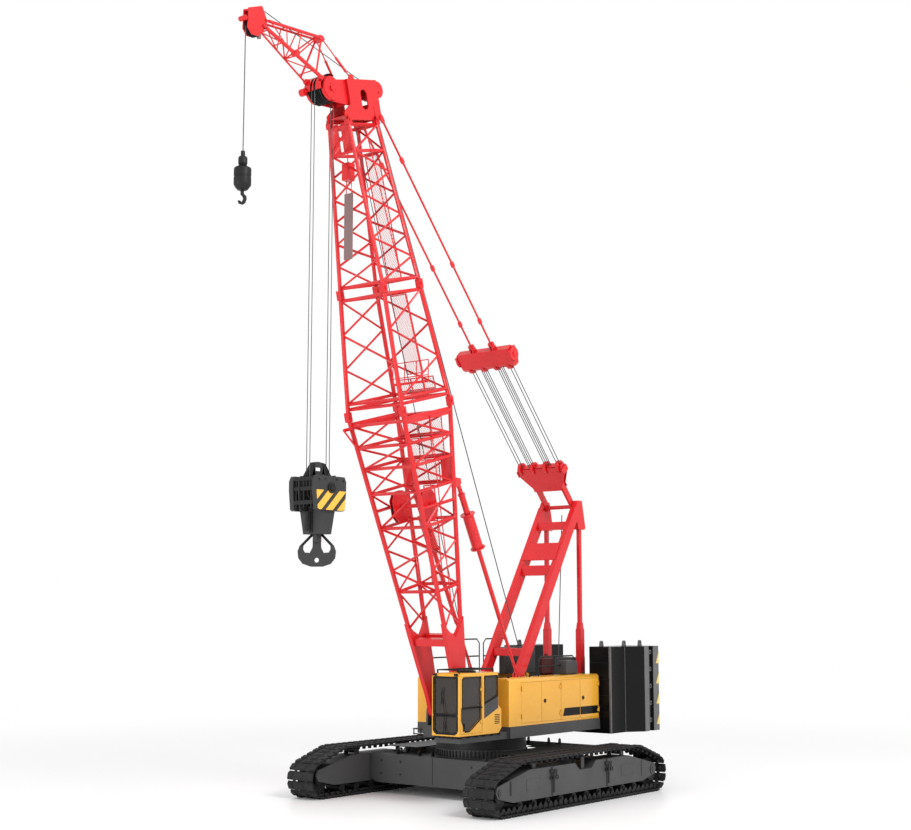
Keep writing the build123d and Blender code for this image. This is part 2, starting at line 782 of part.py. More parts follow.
def boom_leg(side):
    """Box leg from the foot eye up to where the four chords begin."""
    straight = 450.0
    foot = boom_point(side * foot_half_spacing, straight - 60, 0)
    head = boom_point(side * half_width_at_legs, legs_end, 0)
    along = Vector(*head) - Vector(*foot)
    length = along.length
    angle = radians(boom_angle)
    plane = Plane(origin=foot, x_dir=along, z_dir=along.cross(Vector(0, sin(angle), cos(angle))))
    edge = half_depth_at_legs + chord_radius
    outline = [(0, -205), (length - 60, -edge), (length + 300, -edge - 28), (length + 60, -edge + 150),
               (length - 170, 0), (length + 60, edge - 150), (length + 300, edge + 28), (length - 60, edge),
               (0, 205)]
    slab = extrude(plane * Polygon(*outline, align=None), foot_thickness / 2, both=True)
    eye = drum((pivot_y, pivot_z), foot_eye_radius, side * foot_half_spacing - foot_thickness / 2,
               side * foot_half_spacing + foot_thickness / 2)
    neck_points = [boom_yz(s, n) for s, n in ((0, -foot_eye_radius), (straight, -210), (straight, 210),
                                              (0, foot_eye_radius))]
    neck = across(neck_points, side * foot_half_spacing - foot_thickness / 2,
                  side * foot_half_spacing + foot_thickness / 2)
    hole = round_hole((pivot_y, pivot_z), pivot_radius + pin_play, side * foot_half_spacing - 200,
                      side * foot_half_spacing + 200)
    return union(slab, eye, neck) - hole


shaft_radius = 55.0
shaft_sides = 8
sheave_width = 70.0
cheek_plate = 20.0
deflector_s = 5720.0     # two sheaves that lead the hoist ropes, each in its own cheeks
deflector_n = -60.0
deflector_x = 500.0
deflector_radius = 270.0
deflector_case = (430.0, 320.0)  # half length and half width of the cheeks
gusset_share = 0.46      # how far the rear face's gusset plates reach in from each chord
top_beam_depth = 200.0   # the deep plates over the base section's last frame
bracket_reach = 310.0    # rope bracket on the front of the base section

# Shares of the way from a section's first frame to its last: the lacing's levels, then the frames.
base_levels = (0.0, 0.185, 0.29, 0.393, 0.498, 0.666, 0.788, 0.893, 1.0)
base_frames = (0.185, 0.498, 0.666, 0.788, 0.893, 1.0)
middle_levels = (0.0, 1 / 3, 2 / 3, 1.0)
top_levels = (0.0, 0.139, 0.277, 0.416, 0.555, 0.693, 0.832, 1.0)
top_frames = (0.0, 0.832, 1.0)
base_span = (legs_end + 140, base_end - 250)
middle_span = (base_end + 340, mid_end - 150)
top_span = (mid_end + 180, top_end - 130)


def deflector_cheeks(side):
    """Two cheek plates of one deflection sheave and the pin through them."""
    half_length, half_width = deflector_case
    shape = [(-half_length, -half_width / 2), (-half_length / 2, -half_width), (half_length / 2, -half_width),
             (half_length, -half_width / 2), (half_length, half_width / 2), (half_length / 2, half_width),
             (-half_length / 2, half_width), (-half_length, half_width / 2)]
    points = [boom_yz(deflector_s + ds, deflector_n + dn) for ds, dn in shape]
    middle = side * deflector_x
    plates = []
    for cheek in (-1, 1):
        near = middle + cheek * (sheave_width / 2 + pin_gap)
        plates.append(across(points, *sorted((near, near + cheek * cheek_plate))))
    return plates


def backstop_ears(side):
    """Two ears on the rear chord, one each side of the backstop's eye."""
    depth = boom_size(backstop_boom_s)[1]
    ear = [(-160, depth), (160, depth), (70, backstop_boom_n + 70), (-70, backstop_boom_n + 70)]
    points = [boom_yz(backstop_boom_s + ds, n) for ds, n in ear]
    near = side * (backstop_x + backstop_eye_width / 2 + pin_gap)
    return across(points, *sorted((near, near + side * 40)))


def boom_base():
    levels = spread(*base_span, base_levels)
    frames = spread(*base_span, base_frames)
    pieces = lattice(legs_end - 40, base_end, frames, levels, chord_radius, (False, True))
    for side in (-1, 1):
        pieces.append(boom_leg(side))
        n = side * (half_depth_at_legs - 20)
        pieces.append(boom_slab((legs_end - 350, legs_end - 150), sorted((n, n - side * 160)),
                                10 - half_width_at_legs, half_width_at_legs - 10))
        # deflection sheave, on a shaft between the side faces
        pieces.append(bar(chord_point(side, -1, deflector_s), chord_point(side, 1, deflector_s),
                          frame_bar_radius, 4))
        pieces += deflector_cheeks(side)
        pieces.append(backstop_ears(side))
        # gusset plates of the box that takes the backstops
        low, high = levels[-4], levels[-3]
        inner, outer = (side * share * boom_size(low)[0] for share in (1 - gusset_share, 1))
        depth = boom_size(low)[1]
        middle = (inner + outer) / 2
        pieces.append(beam(boom_point(middle, low, depth), boom_point(middle, high, boom_size(high)[1]),
                           abs(outer - inner), 30))
        # deep plate over the last frame
        pieces.append(beam(chord_point(side, -1, levels[-1]), chord_point(side, 1, levels[-1]),
                           40, top_beam_depth))
    width = boom_size(deflector_s)[0]
    pieces.append(bar(boom_point(-width, deflector_s, deflector_n), boom_point(width, deflector_s, deflector_n),
                      shaft_radius, shaft_sides))
    # rope bracket on the front chord away from the cab, with its strut
    width, depth = boom_size(levels[-1])
    tip = boom_point(-width, levels[-1] - 60, -depth - bracket_reach)
    pieces.append(bar(chord_point(-1, -1, levels[-1] - 60), tip, frame_bar_radius, 4))
    pieces.append(bar(chord_point(-1, -1, levels[-2]), tip, lacing_radius, 4))
    return union(pieces)


save("boom_base", boom_base())
middle_lattice = lattice(base_end, mid_end, [base_end + 200, *middle_span], spread(*middle_span, middle_levels),
                         chord_radius - 4, (True, True))
save("boom_middle", union(middle_lattice))

slot_plate = (top_end - 830, top_end - 50)  # along the boom; rope guide plate in the top's front face
slot_half_width = 55.0


def boom_top():
    pieces = lattice(mid_end, top_end, spread(*top_span, top_frames), spread(*top_span, top_levels),
                     top_chord_radius, (True, True))
    for side in (-1, 1):
        outer = boom_size(slot_plate[1])[0]
        middle = side * (slot_half_width + outer) / 2
        ends = [boom_point(middle, s, -boom_size(s)[1]) for s in slot_plate]
        pieces.append(beam(*ends, outer - slot_half_width, 24))
    return union(pieces)


save("boom_top", boom_top())

# ---- boom head -----------------------------------------------------------------------------
cheek_x = 330.0
cheek_thickness = 40.0
main_axle = (head_end - 260, -980.0)     # (along the boom, behind its middle)
rear_axle = (head_end - 230, 950.0)
rear_sheave_radius = 190.0
plate_front = -340.0
plate_rear = 830.0
window_place = (head_end - 530, 240.0)   # oval hole in each cheek
window_size = (540.0, 250.0)
arm_x = 215.0            # inner face of the arms that carry the main sheaves
arm_thickness = 35.0
main_disc = 315.0        # round covers outside the arms
rear_disc = 230.0
disc_outer = 320.0
rear_disc_outer = 232.0
rope_radius = 13.0
fall_radius = 350.0      # from a main sheave's axis out to the rope's centre
rope_play = 3.0          # each side of a rope in its groove
rim_height = 30.0        # of a sheave's rims above the groove
head_sheave_radius = fall_radius - rope_radius - seat_gap   # to the bottom of the groove
sheave_pitch = 112.0
stay_anchor = (head_end + 70, -150.0)    # along the boom and behind its middle
jib_foot = (-7040.0, 18610.0)     # (y, z)
jib_tip = (-9220.0, 19290.0)
jib_lower_end = (-8880.0, 19400.0)
jib_upper_end = (-8780.0, 19600.0)
jib_sheave_radius = 200.0
jib_shaft_radius = 40.0
tip_plate_x = 70.0
tip_plate_thickness = 30.0
jib_mast_top = (-6870.0, 19780.0)
jib_half_width = (295.0, 125.0)   # of the lower chords, at the foot and at the tip
jib_upper_half_width = (95.0, 110.0)


def boom_head():
    low = top_end + joint_gap
    lug_edge = half_depth_at_top + lug_block / 2
    outline = [(low, -lug_edge), (low + 200, -lug_edge), (low + 420, plate_front), (head_end, plate_front),
               (head_end, plate_rear), (low, plate_rear)]
    cheek = across([boom_yz(s, n) for s, n in outline], cheek_x - cheek_thickness, cheek_x)
    along = (0, -cos(radians(boom_angle)), sin(radians(boom_angle)))
    window = Plane(origin=boom_point(cheek_x, *window_place), x_dir=along, z_dir=(1, 0, 0))
    cheek -= extrude(window * SlotOverall(*window_size), 100, both=True)
    inner = cheek_x - 10
    pieces = both(cheek)
    # plates between the cheeks: front, base, cap, rear
    for s_span, n_span in (((top_end + 420, head_end), (plate_front, plate_front + 30)),
                           ((top_end + 90, top_end + 130), (-half_depth_at_top, plate_rear)),
                           ((head_end - 40, head_end), (plate_front + 400, plate_rear)),
                           ((top_end + 40, top_end + 500), (plate_rear - 30, plate_rear))):
        pieces.append(boom_slab(s_span, n_span, -inner, inner))
    s, n = main_axle
    arm = [(s - 420, plate_front + 20), (s - 300, n - 120), (s - 140, n - 230), (s + 120, n - 230),
           (s + 230, n - 60), (head_end, plate_front + 20)]
    s, n = rear_axle
    rear_arm = [(s - 260, plate_rear - 250), (s - 120, n + 60), (s, n + 110), (s + 110, n + 60),
                (head_end - 10, plate_rear - 250)]
    for side in (-1, 1):
        arm_span = sorted((side * arm_x, side * (arm_x + arm_thickness)))
        pieces.append(across([boom_yz(*point) for point in arm], *arm_span))
        disc_span = sorted((side * (arm_x + 20), side * disc_outer))
        pieces.append(drum(boom_yz(*main_axle), main_disc, *disc_span, 24))
        near = side * (rear_disc_outer - 70)
        pieces.append(across([boom_yz(*point) for point in rear_arm], *sorted((near, near + side * 30))))
        disc_span = sorted((near + side * 20, side * rear_disc_outer))
        pieces.append(drum(boom_yz(*rear_axle), rear_disc, *disc_span, 20))
    pieces.append(drum(boom_yz(*main_axle), shaft_radius, -arm_x - 10, arm_x + 10, shaft_sides))
    pieces.append(drum(boom_yz(*rear_axle), shaft_radius, 20 - rear_disc_outer, rear_disc_outer - 20,
                       shaft_sides))
    for side in (-1, 1):
        ear = [boom_yz(pendant_boom_s + ds, n) for ds, n in
               ((-30, 560), (320, 560), (90, pendant_boom_n + 80), (-30, pendant_boom_n + 80))]
        inner_x = side * (pendant_half_spacing - 20 - seat_gap)
        pieces.append(across(ear, *sorted((inner_x, inner_x - side * 50))))
    # brackets that hold the jib's feet, and lugs on the cheeks for its stays
    foot = [(jib_foot[0] - 70, jib_foot[1] + 60), (jib_foot[0] + 60, jib_foot[1] + 90),
            boom_yz(head_end - 30, -560), boom_yz(head_end - 240, -900), (jib_foot[0] - 60, jib_foot[1] - 70)]
    s, n = stay_anchor
    lug = [boom_yz(head_end - 20, n - 120), boom_yz(s + 50, n - 50), boom_yz(s + 50, n + 50),
           boom_yz(head_end - 20, n + 120)]
    for side in (-1, 1):
        pieces.append(across(foot, *sorted((side * arm_x, side * (arm_x + arm_thickness)))))
        pieces.append(across(lug, *sorted((side * (cheek_x - cheek_thickness), side * cheek_x))))
    return union(pieces)


save("boom_head", boom_head())


def sheave(centre, radius, x, shaft=shaft_radius, width=sheave_width):
    """Sheave with a rope groove of the given radius and a bore that clears its shaft."""
    half = width / 2
    inner = rope_radius + rope_play
    rims = [drum(centre, radius + rim_height, *sorted((x + side * half, x + side * inner)), 14)
            for side in (-1, 1)]
    waist = drum(centre, radius, x - inner - 1, x + inner + 1, 14)
    return union(rims, waist) - drum(centre, shaft + pin_play, x - width, x + width, shaft_sides)


sheaves = [sheave(boom_yz(*main_axle), head_sheave_radius, (number - 1.5) * sheave_pitch)
           for number in range(4)]
sheaves.append(sheave(boom_yz(*rear_axle), rear_sheave_radius, 0))
for x in (-deflector_x, deflector_x):
    sheaves.append(sheave(boom_yz(deflector_s, deflector_n), deflector_radius, x))
save("boom_sheaves", sheaves)

# ---- catwalk inside the boom's rear face ---------------------------------------------------
walk_thickness = 30.0
walk_drop = lacing_radius + walk_thickness / 2 + seat_gap   # hung under the lacing
walk_end_gap = 65.0      # from a span's end to the frame beside it
walk_half_widths = (190.0, 190.0, 420.0, 640.0, 640.0, 600.0, 280.0, 230.0)


def catwalk():
    base = spread(*base_span, base_levels)
    platform = middle_span[0] + 450
    # each span lies between two frames, or ends free at the joint platform
    spans = ((base[1], base[4]), (base[4], base[5]), (base[5], base[6]), (base[6], base[7]), (base[7], base[8]),
             (middle_span[0], platform), (platform, middle_span[1]),
             (top_span[0], spread(*top_span, top_frames)[1]))
    pieces = []
    for (start, end), half_width in zip(spans, walk_half_widths):
        slope = (boom_size(end)[1] - boom_size(start)[1]) / (end - start)
        drop = walk_drop * hypot(1, slope)
        first, last = start + walk_end_gap, end - walk_end_gap
        pieces.append(beam(boom_point(0, first, boom_size(first)[1] - drop),
                           boom_point(0, last, boom_size(last)[1] - drop), 2 * half_width, walk_thickness))
    return pieces


save("catwalk", catwalk())

# ---- jib -------------------------------------------------------------------------------------
jib_tube = 34.0
jib_brace = 20.0
# (share of the lower chord, share of the upper chord) joined by each side brace
jib_side_braces = ((0.45, 0.06), (0.45, 0.38), (0.62, 0.66), (0.62, 0.95))
jib_floor_levels = (0.15, 0.45, 0.7, 0.95)


def jib_line(x_side, share, upper):
    root, tip = (jib_mast_top, jib_upper_end) if upper else (jib_foot, jib_lower_end)
    near, far = jib_upper_half_width if upper else jib_half_width
    width = near + (far - near) * share
    return (x_side * width, root[0] + (tip[0] - root[0]) * share, root[1] + (tip[1] - root[1]) * share)


def jib():
    pieces = []
    for side in (-1, 1):
        for upper in (False, True):
            pieces.append(bar(jib_line(side, 0, upper), jib_line(side, 1.04, upper), jib_tube, 4))
        pieces.append(bar(jib_line(side, 0.1, False), jib_line(side, 0, True), jib_tube, 4))
        for lower_share, upper_share in jib_side_braces:
            pieces.append(bar(jib_line(side, lower_share, False), jib_line(side, upper_share, True),
                              jib_brace, 4))
    for share in jib_floor_levels:
        pieces.append(bar(jib_line(-1, share, False), jib_line(1, share, False), jib_brace, 4))
    for number, (low, high) in enumerate(zip(jib_floor_levels, jib_floor_levels[1:])):
        side = -1 if number % 2 else 1
        pieces.append(bar(jib_line(side, low, False), jib_line(-side, high, False), jib_brace, 4))
    for share in (0.38, 0.66):
        pieces.append(bar(jib_line(-1, share, True), jib_line(1, share, True), jib_brace, 4))
    # plate across the mast's head
    y, z = jib_mast_top
    mast_head = [(y - 90, z - 60), (y + 70, z - 90), (y + 100, z), (y + 20, z + 60), (y - 80, z + 50)]
    reach = jib_upper_half_width[0] + jib_tube
    pieces.append(across(mast_head, -reach, reach))
    # head plates that carry the tip sheave
    y, z = jib_tip
    plate = [(y - 210, z + 450), (y + 240, z + 640), (y + 430, z + 300), (y + 320, z + 20), (y + 130, z - 180),
             (y - 90, z - 200), (y - 230, z - 60)]
    for side in (-1, 1):
        near = side * tip_plate_x
        pieces.append(across(plate, *sorted((near, near + side * tip_plate_thickness))))
    pieces.append(block((-tip_plate_x, tip_plate_x), (y - 180, y + 240), (z + 400, z + 430)))
    pieces.append(drum(jib_tip, jib_shaft_radius, -tip_plate_x - 10, tip_plate_x + 10, shaft_sides))
    # feet against the boom head's arms, and stays back to its lugs with a turnbuckle in each
    foot_seat = arm_x + arm_thickness + seat_gap
    stay_seat = cheek_x - cheek_thickness - seat_gap
    anchor = boom_yz(*stay_anchor)
    for side in (-1, 1):
        pieces.append(drum(jib_foot, 58, *sorted((side * foot_seat, side * (jib_half_width[0] + 20))), 12))
        start = (side * jib_upper_half_width[0], *jib_mast_top)
        end = (side * (stay_seat - 20), *anchor)
        pieces.append(drum(anchor, 42, *sorted((side * (stay_seat - 30), side * stay_seat)), 12))
        pieces.append(bar(start, end, 17))
        lower_half = [[a + (b - a) * share for a, b in zip(start, end)] for share in (0.5, 0.88)]
        pieces.append(bar(*lower_half, 34))
    return union(pieces)


save("jib", jib())
save("jib_sheave", sheave(jib_tip, jib_sheave_radius, 0, shaft=jib_shaft_radius, width=60.0))

# ---- gantry: A-frame legs, upright rear legs --------------------------------------------------
def gantry_point(x, share):
    return (x, gantry_foot_y + (gantry_head_y - gantry_foot_y) * share,
            gantry_foot_z + (gantry_head_z - gantry_foot_z) * share)


def gantry_frame():
    pieces = []
    for side in (-1, 1):
        x = side * gantry_half_spacing
        pieces.append(beam(gantry_point(x, 0.012), gantry_point(x, 0.985), gantry_leg_width, gantry_leg_depth))
        pieces.append(drum(gantry_point(x, 0)[1:], 150, x - gantry_leg_width / 2, x + gantry_leg_width / 2, 12))
        head = [(gantry_head_y - 300, gantry_head_z - 300), (gantry_head_y - 40, gantry_head_z + 180),
                (gantry_head_y + 180, gantry_head_z + 180), (gantry_head_y + 360, gantry_head_z - 640),
                (gantry_head_y + 300, mast_top), (gantry_head_y - 10, mast_top),
                (gantry_head_y - 70, gantry_head_z - 500)]
        pieces.append(across(head, x - gantry_leg_width / 2, x + gantry_leg_width / 2))
    inner = gantry_half_spacing - gantry_leg_width / 2 + 10
    for share, width, depth in ((0.885, 240, 200), (0.62, 300, 220), (0.16, 220, 200)):
        pieces.append(beam(gantry_point(-inner, share), gantry_point(inner, share), depth, width))
    pieces.append(drum(gantry_point(0, 1)[1:], gantry_pin_radius, -inner, inner))
    # walkway on the legs' front edges
    rise, reach = gantry_head_z - gantry_foot_z, gantry_head_y - gantry_foot_y
    aside = gantry_leg_depth / 2 / hypot(rise, reach)
    walk = [(x, y - aside * rise, z + aside * reach)
            for x, y, z in (gantry_point(0, share) for share in gantry_walk)]
    pieces.append(beam(*walk, 2 * gantry_half_spacing, 30))
    return union(pieces)


save("gantry_legs", gantry_frame())


def gantry_masts():
    pieces = []
    for side in (-1, 1):
        x = side * gantry_half_spacing
        low = block((x - 95, x + 95), (mast_y - 95, mast_y + 95), (deck_high, 4500))
        high = block((x - 55, x + 55), (mast_y - 55, mast_y + 55), (4490, mast_top - seat_gap))
        fork = [(mast_y - 110, 4480), (mast_y + 110, 4480), (mast_y + 60, 4700), (mast_y - 60, 4700)]
        pieces.append(union(low, high, across(fork, x - 70, x + 70)))
    return pieces


save("gantry_masts", gantry_masts())

# ---- luffing gear: gantry block, bridle and pendants along one straight line ------------------
head_pin = boom_yz(pendant_boom_s, pendant_boom_n)
tail_pin = (gantry_head_y, gantry_head_z)
line_length = hypot(tail_pin[0] - head_pin[0], tail_pin[1] - head_pin[1])
line_step = ((tail_pin[0] - head_pin[0]) / line_length, (tail_pin[1] - head_pin[1]) / line_length)


def line_yz(distance, aside=0.0):
    """Down the line from the boom head pin; aside is square to it, upwards."""
    return (head_pin[0] + line_step[0] * distance - line_step[1] * aside,
            head_pin[1] + line_step[1] * distance + line_step[0] * aside)


def line_point(x, distance, aside=0.0):
    return (x, *line_yz(distance, aside))


def line_plate(points, x_low, x_high):
    return across([line_yz(distance, aside) for distance, aside in points], x_low, x_high)


rope_groups = (-690.0, -230.0, 230.0, 690.0)
block_sheave_radius = 190.0


def gantry_block():
    near = gantry_block_distance
    end = line_length
    pieces = [line_plate([(near - 130, -90), (near + 160, -120), (near + 160, 120), (near - 130, 90)],
                         -800, 800)]
    for side in (-1, 1):
        arm_x = side * 470.0
        arm = [(near + 100, -110), (end - 60, -95), (end + 90, -60), (end + 90, 60), (end - 60, 95),
               (near + 100, 110)]
        plate = line_plate(arm, *sorted((arm_x - 35, arm_x + 35)))
        pieces.append(plate - round_hole(tail_pin, gantry_pin_radius + pin_play, arm_x - 60, arm_x + 60))
        lug = [(near - 40, -150), (near + 150, -150), (near + 150, 150), (near - 40, 150)]
        pieces.append(line_plate(lug, *sorted((side * 800, side * 840))))
    for x in rope_groups:
        pieces.append(drum(line_yz(near - 60), block_sheave_radius, x - 45, x + 45, 12))
    return union(pieces)


save("gantry_block", gantry_block())


def bridle_block():
    middle = bridle_distance
    body = line_plate([(middle - 300, -110), (middle - 180, -150), (middle + 200, -150), (middle + 300, -90),
                       (middle + 300, 90), (middle + 200, 150), (middle - 180, 150), (middle - 300, 110)],
                      -930, 930)
    pieces = [body]
    for side in (-1, 1):
        end_plate = [(middle - 240, -190), (middle + 60, -190), (middle + 60, 190), (middle - 240, 190)]
        pieces.append(line_plate(end_plate, *sorted((side * 925, side * 985))))
        for cheek in (-1, 1):
            x = side * pendant_half_spacing + cheek * (40 + seat_gap)
            pieces.append(line_plate([(middle - 520, -60), (middle - 250, -110), (middle - 250, 110),
                                      (middle - 520, 60)], x - 20, x + 20))
    for x in rope_groups:
        pieces.append(drum(line_yz(middle + 240), block_sheave_radius - 20, x - 45, x + 45, 12))
    return union(pieces)


save("bridle_block", bridle_block())

pendant_joints = (1300.0, 4600.0, 6500.0)
pendant_radius = 30.0


def pendant(x):
    end = bridle_distance - 460
    pieces = [bar(line_point(x, 160), line_point(x, end - 70), pendant_radius)]
    for distance in (0.0, *pendant_joints, end):
        reach = 75 if distance == end else 120 if distance else 200
        back = 75 if distance == 0 else reach
        ear = [(distance - back, 0), (distance - back / 2, -68), (distance + reach / 2, -68),
               (distance + reach, 0), (distance + reach / 2, 68), (distance - back / 2, 68)]
        pieces.append(line_plate(ear, x - 20, x + 20))
    return union(pieces)


save("pendants", [pendant(side * pendant_half_spacing) for side in (-1, 1)])

# ---- backstops ----------------------------------------------------------------------------------
stop_pin = boom_yz(backstop_boom_s, backstop_boom_n)
stop_foot = (backstop_foot_y, backstop_foot_z)
stop_length = hypot(stop_foot[0] - stop_pin[0], stop_foot[1] - stop_pin[1])
stop_step = ((stop_foot[0] - stop_pin[0]) / stop_length, (stop_foot[1] - stop_pin[1]) / stop_length)
stop_tube_length = 4300.0
stop_rod_start = 2300.0
stop_travel = 180.0      # free bore beyond the rod's end, for the boom's way back
spring_start = 1000.0    # the spring, its cover tube and its two flanges, from the boom's pin
spring_end = 1970.0
spring_radius = 155.0
spring_flange = 210.0


def stop_point(x, distance):
    return (x, stop_pin[0] + stop_step[0] * distance, stop_pin[1] + stop_step[1] * distance)


def backstop_tube(x):
    half = backstop_eye_width / 2
    tube = bar(stop_point(x, 260), stop_point(x, stop_tube_length), backstop_tube_radius, 10)
    spring = bar(stop_point(x, spring_start), stop_point(x, spring_end), spring_radius, 10)
    flanges = [bar(stop_point(x, start), stop_point(x, start + 40), spring_flange, 10)
               for start in (spring_start - 40, spring_end)]
    eye = [drum(stop_pin, 75, x - half, x + half), beam(stop_point(x, 0), stop_point(x, 300), 2 * half, 110)]
    hollow = bar(stop_point(x, stop_rod_start - stop_travel), stop_point(x, stop_tube_length + 10),
                 backstop_rod_radius + 2 * backstop_bore_gap, 10)
    return union(tube, spring, flanges, eye) - hollow


def backstop_rod(x):
    rod = bar(stop_point(x, stop_rod_start), stop_point(x, stop_length - 55), backstop_rod_radius, 10)
    eye = drum(stop_foot, 90, x - 35, x + 35)
    return union(rod, eye)


save("backstop_tubes", [backstop_tube(side * backstop_x) for side in (-1, 1)])
save("backstop_rods", [backstop_rod(side * backstop_x) for side in (-1, 1)])

# brackets on the deck for the backstops' feet
brackets = []
for side in (-1, 1):
    near = side * (backstop_x - 35 - 2 * pin_gap)
    outline = [(stop_foot[0] - 260, deck_high), (stop_foot[0] + 330, deck_high),
               (stop_foot[0] + 90, stop_foot[1] + 40), (stop_foot[0] + 40, stop_foot[1] + 95),
               (stop_foot[0] - 70, stop_foot[1] + 95), (stop_foot[0] - 120, stop_foot[1] + 20)]
    brackets.append(across(outline, *sorted((near, near - side * 50))))
save("backstop_brackets", brackets)

# ---- winches --------------------------------------------------------------------------------------
winch_half = 400.0
drum_radius = 270.0
flange_radius = 400.0


def winch(y, z):
    pieces = [drum((y, z), drum_radius, -winch_half, winch_half, 12)]
    for side in (-1, 1):
        flange = sorted((side * (winch_half - 90), side * (winch_half - 50)))
        pieces.append(drum((y, z), flange_radius, *flange))
        stand = [(y - 330, deck_high), (y + 330, deck_high), (y + 150, z + 120), (y - 150, z + 120)]
        pieces.append(across(stand, *sorted((side * (winch_half - 45), side * winch_half))))
    return union(pieces)


save("hoist_winches", winch(-300.0, 2430.0))
save("rear_winches", winch(2450.0, 2430.0), winch(3350.0, 2430.0))

# ---- deck gear -------------------------------------------------------------------------------------
rail_radius = 21.0
rail_corner = 120.0


def hoop(x, y_start, y_end, z_low, z_high):
    """Handrail with rounded upper corners and a middle rail, standing on z_low."""
    corner = rail_corner
    route = [(y_start, z_low), (y_start, z_high - corner), (y_start + corner, z_high),
             (y_end - corner, z_high), (y_end, z_high - corner), (y_end, z_low)]
    pieces = [bar((x, *first), (x, *last), rail_radius, 4) for first, last in zip(route, route[1:])]
    middle = (z_low + z_high) / 2
    pieces.append(bar((x, y_start, middle), (x, y_end, middle), rail_radius, 4))
    return union(pieces)


# (x, front post, rear post, height) of each hoop on the house roofs
rail_hoops = ((-1450.0, -700.0, 450.0, 1000.0), (-1450.0, 650.0, 1800.0, 1000.0),
              (-1450.0, 2000.0, 3150.0, 1000.0), (1050.0, 1300.0, 3150.0, 530.0))
save("railings", [hoop(x, front, rear, house_top, house_top + height) for x, front, rear, height in rail_hoops])
save("deck_box", block((-350, 350), (4150, 4750), (deck_high, 3650)))

# ---- hook blocks and their lines ---------------------------------------------------------------------
main_centre = boom_yz(*main_axle)
main_line_y = main_centre[0]
block_sheave = (main_line_y, 8060.0)
block_low = 1130.0       # from the block's axle down to the hook's seat
neck_top = 550.0         # and down to the top of the neck under it
cheek_outline = [(-490, -530), (-430, -560), (430, -560), (490, -530), (540, -60), (540, 180), (480, 300),
                 (-480, 300), (-540, 180), (-540, -60)]


def falls():
    pieces = []
    for x in (-sheave_pitch / 2, sheave_pitch / 2):
        for side in (-1, 1):
            y = main_line_y + side * fall_radius
            pieces.append(bar((x, y, block_sheave[1]), (x, y, main_centre[1]), rope_radius, 12))
    return pieces


save("main_falls", falls())


def main_block():
    y, z = block_sheave
    cheek = [(y + dy, z + dz) for dy, dz in cheek_outline]
    pieces = [drum(block_sheave, 60, -400, 400, 12)]
    # inner and outer face of each cheek plate
    for inner, outer in ((-470, -330), (-150, -130), (330, 470)):
        pieces.append(across(cheek, inner, outer))
    pieces.append(block((-400, 400), (y - 200, y + 200), (z - 560, z - 440)))
    for number in range(4):
        x = (number - 1.5) * sheave_pitch
        pieces.append(drum(block_sheave, head_sheave_radius, x - 25, x + 25, 12))
    neck = [(-280, z - block_low), (280, z - block_low), (400, z - neck_top), (-400, z - neck_top)]
    pieces.append(lengthwise(neck, y - 210, y + 210))
    # handle over the top
    handle = [(y - 240, z + 290), (y - 150, z + 600), (y - 60, z + 680), (y + 60, z + 680), (y + 150, z + 600),
              (y + 240, z + 290)]
    slot = block((-60, 60), (y - 110, y + 110), (z + 450, z + 540))
    pieces.append(across(handle, -30, 30) - slot)
    pieces.append(block((-400, 400), (y - 230, y - 190), (z + 200, z + 330)))
    pieces.append(block((-400, 400), (y + 190, y + 230), (z + 200, z + 330)))
    return union(pieces)


save("main_block", main_block())

hook_turn = 38.0         # the hook swivels, and stands turned by this
# the ramshorn's outline, (across, below its seat)
ramshorn = [(-95, -100), (95, -100), (105, -330), (170, -460), (300, -450), (345, -370), (340, -280),
            (420, -275), (475, -420), (455, -590), (350, -730), (150, -800), (-150, -800), (-350, -730),
            (-455, -590), (-475, -420), (-420, -275), (-340, -280), (-345, -370), (-300, -450),
            (-170, -460), (-105, -330)]
shackle_hole = (0, -640)
shackle_hole_radius = 60.0


def main_hook():
    seat = -seat_gap
    shank = extrude(Plane.XY.offset(seat - 200) * RegularPolygon(110, 12), 200)
    body = lengthwise([(x, z + seat) for x, z in ramshorn], -65, 65)
    hole = extrude(Plane.XZ * Pos(shackle_hole[0], shackle_hole[1] + seat) * Circle(shackle_hole_radius), 100,
                   both=True)
    hook = union(shank, body) - hole
    return Pos(0, main_line_y, block_sheave[1] - block_low) * Rot(0, 0, hook_turn) * hook


save("main_hook", main_hook())

aux_line_y = jib_tip[0] - jib_sheave_radius - rope_radius - seat_gap
aux_top = 16100.0
save("aux_fall", bar((0, aux_line_y, aux_top), (0, aux_line_y, jib_tip[1]), rope_radius, 12))

# (height above the block's top, radius) of the auxiliary block, a weight under a swivel
aux_profile = ((0, 55), (-120, 55), (-150, 115), (-330, 115), (-390, 75), (-420, 215), (-850, 215), (-980, 120))
aux_length = -aux_profile[-1][0]


def aux_block():
    pieces = []
    for (high, top_radius), (low, bottom_radius) in zip(aux_profile, aux_profile[1:]):
        top = Pos(0, aux_line_y, aux_top + high) * RegularPolygon(top_radius, 12)
        bottom = Pos(0, aux_line_y, aux_top + low) * RegularPolygon(bottom_radius, 12)
        pieces.append(loft([bottom, top]))
    return union(pieces)


save("aux_block", aux_block())


def aux_hook():
    z = aux_top - aux_length - seat_gap
    outline = [(-35, 0), (35, 0), (40, -90), (120, -150), (140, -240), (90, -330), (0, -360), (-100, -320),
               (-135, -230), (-70, -240), (-40, -290), (20, -290), (60, -230), (30, -170), (-35, -110)]
    return lengthwise([(x, z + dz) for x, dz in outline], aux_line_y - 32, aux_line_y + 32)


save("aux_hook", aux_hook())
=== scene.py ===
import json
import math

import bmesh
import bpy
from mathutils import Matrix, Vector


